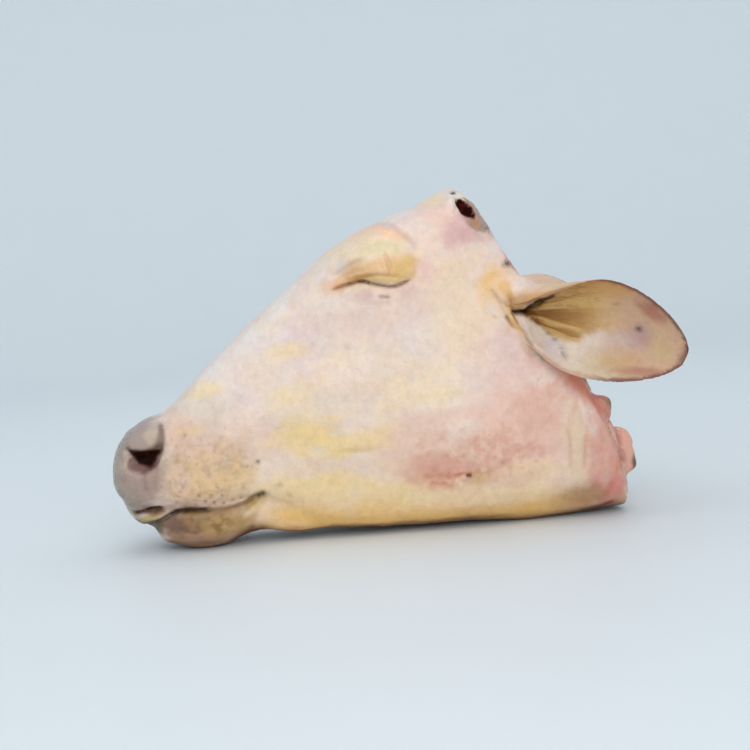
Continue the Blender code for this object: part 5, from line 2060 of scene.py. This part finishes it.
class BeefStageSettings(bpy.types.PropertyGroup):
    """The floor and the light."""

    floor: bpy.props.FloatVectorProperty(
        name="Floor", description="Colour of the floor and the wall round it",
        default=linear("#dae0e4"), size=4, min=0, max=1, subtype="COLOR",
    )
    key_power: bpy.props.FloatProperty(
        name="Key light", description="Power of the large light above",
        default=13.0, min=0, unit="POWER",
    )
    fill_power: bpy.props.FloatProperty(
        name="Fill light", description="Power of the light in front",
        default=30.0, min=0, unit="POWER",
    )
    wall_power: bpy.props.FloatProperty(
        name="Wall light", description="Power of the light on the wall behind",
        default=12.0, min=0, unit="POWER",
    )


# Operators


class BEEF_OT_make_skin(bpy.types.Operator):
    """Make the head's skin with its ears, folds and whisker roots"""

    bl_idname = "beef.make_skin"
    bl_label = "Make the skin"

    def execute(self, context):
        settings = context.scene.beef_skin
        mesh = dense_head(settings)
        colour_skin(mesh)
        piece = new_piece("head_skin", mesh, [scalded_skin(settings)])
        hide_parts(HEAD_NODE)
        return {"FINISHED"}


class BEEF_OT_make_flesh(bpy.types.Operator):
    """Make the flesh, bone and windpipe that show where the neck was cut"""

    bl_idname = "beef.make_flesh"
    bl_label = "Make the cut flesh"

    def execute(self, context):
        skin = bpy.data.objects["head_skin"].data
        new_piece("cut_flesh", flesh_mesh(skin), [raw_flesh()])
        return {"FINISHED"}


class BEEF_OT_make_hair(bpy.types.Operator):
    """Make the hair inside the ears and the tufts that the scraper left"""

    bl_idname = "beef.make_hair"
    bl_label = "Make the hair"

    def execute(self, context):
        settings = context.scene.beef_hair
        tree = surface_tree(bpy.data.objects["head_skin"].data)
        hairs = ear_hairs(tree, settings.ear_count, settings.ear_length / MM)
        brown = cattle_hair("wet brown ear hair", settings.ear_colour)
        new_piece("ear_hair", hair_mesh("ear_hair", hairs), [brown])
        dark = cattle_hair("wet grey stubble", linear("#75675c"))
        new_piece("stubble_tufts", hair_mesh("stubble_tufts", tufts(tree)), [dark])
        return {"FINISHED"}


class BEEF_OT_make_stage(bpy.types.Operator):
    """Make the floor, the soft lights and the camera"""

    bl_idname = "beef.make_stage"
    bl_label = "Make the stage"

    def execute(self, context):
        settings = context.scene.beef_stage
        mesh = bowl_mesh()
        mesh.materials.append(painted_board(settings.floor))
        floor = bpy.data.objects.new("stage", mesh)
        context.scene.collection.objects.link(floor)
        for name, place, aim, size, colour in LIGHTS:
            make_light(name, place, aim, size, getattr(settings, name + "_power"), colour)
        world = bpy.data.worlds.new("soft light")
        world.use_nodes = True
        around = world.node_tree.nodes["Background"].inputs
        around["Color"].default_value = linear(AIR_COLOUR)
        around["Strength"].default_value = AIR_STRENGTH
        context.scene.world = world
        context.scene.view_settings.view_transform = "Standard"
        make_camera()
        return {"FINISHED"}


PIECE_OPERATORS = (BEEF_OT_make_skin, BEEF_OT_make_flesh, BEEF_OT_make_hair, BEEF_OT_make_stage)


class BEEF_PT_pieces(bpy.types.Panel):
    """Lists the head's pieces and their settings"""

    bl_idname = "BEEF_PT_pieces"
    bl_label = "Beef head"
    bl_space_type = "VIEW_3D"
    bl_region_type = "UI"
    bl_category = "Beef head"

    def draw(self, context):
        for operator in PIECE_OPERATORS:
            self.layout.operator(operator.bl_idname)
        for group in (context.scene.beef_skin, context.scene.beef_hair, context.scene.beef_stage):
            box = self.layout.box()
            for name in group.__annotations__:
                box.prop(group, name)


SETTINGS = {
    "beef_skin": BeefSkinSettings,
    "beef_hair": BeefHairSettings,
    "beef_stage": BeefStageSettings,
}
CLASSES = (*SETTINGS.values(), *PIECE_OPERATORS, BEEF_PT_pieces)


def register():
    """Adds the settings, the operators and the panel."""
    for cls in CLASSES:
        bpy.utils.register_class(cls)
    for name, group in SETTINGS.items():
        setattr(bpy.types.Scene, name, bpy.props.PointerProperty(type=group))


def unregister():
    """Takes them away again."""
    for name in SETTINGS:
        delattr(bpy.types.Scene, name)
    for cls in reversed(CLASSES):
        bpy.utils.unregister_class(cls)


def main():
    """Makes every piece."""
    register()
    bpy.ops.beef.make_skin()
    bpy.ops.beef.make_flesh()
    bpy.ops.beef.make_hair()
    bpy.ops.beef.make_stage()


if __name__ == "__main__":
    main()
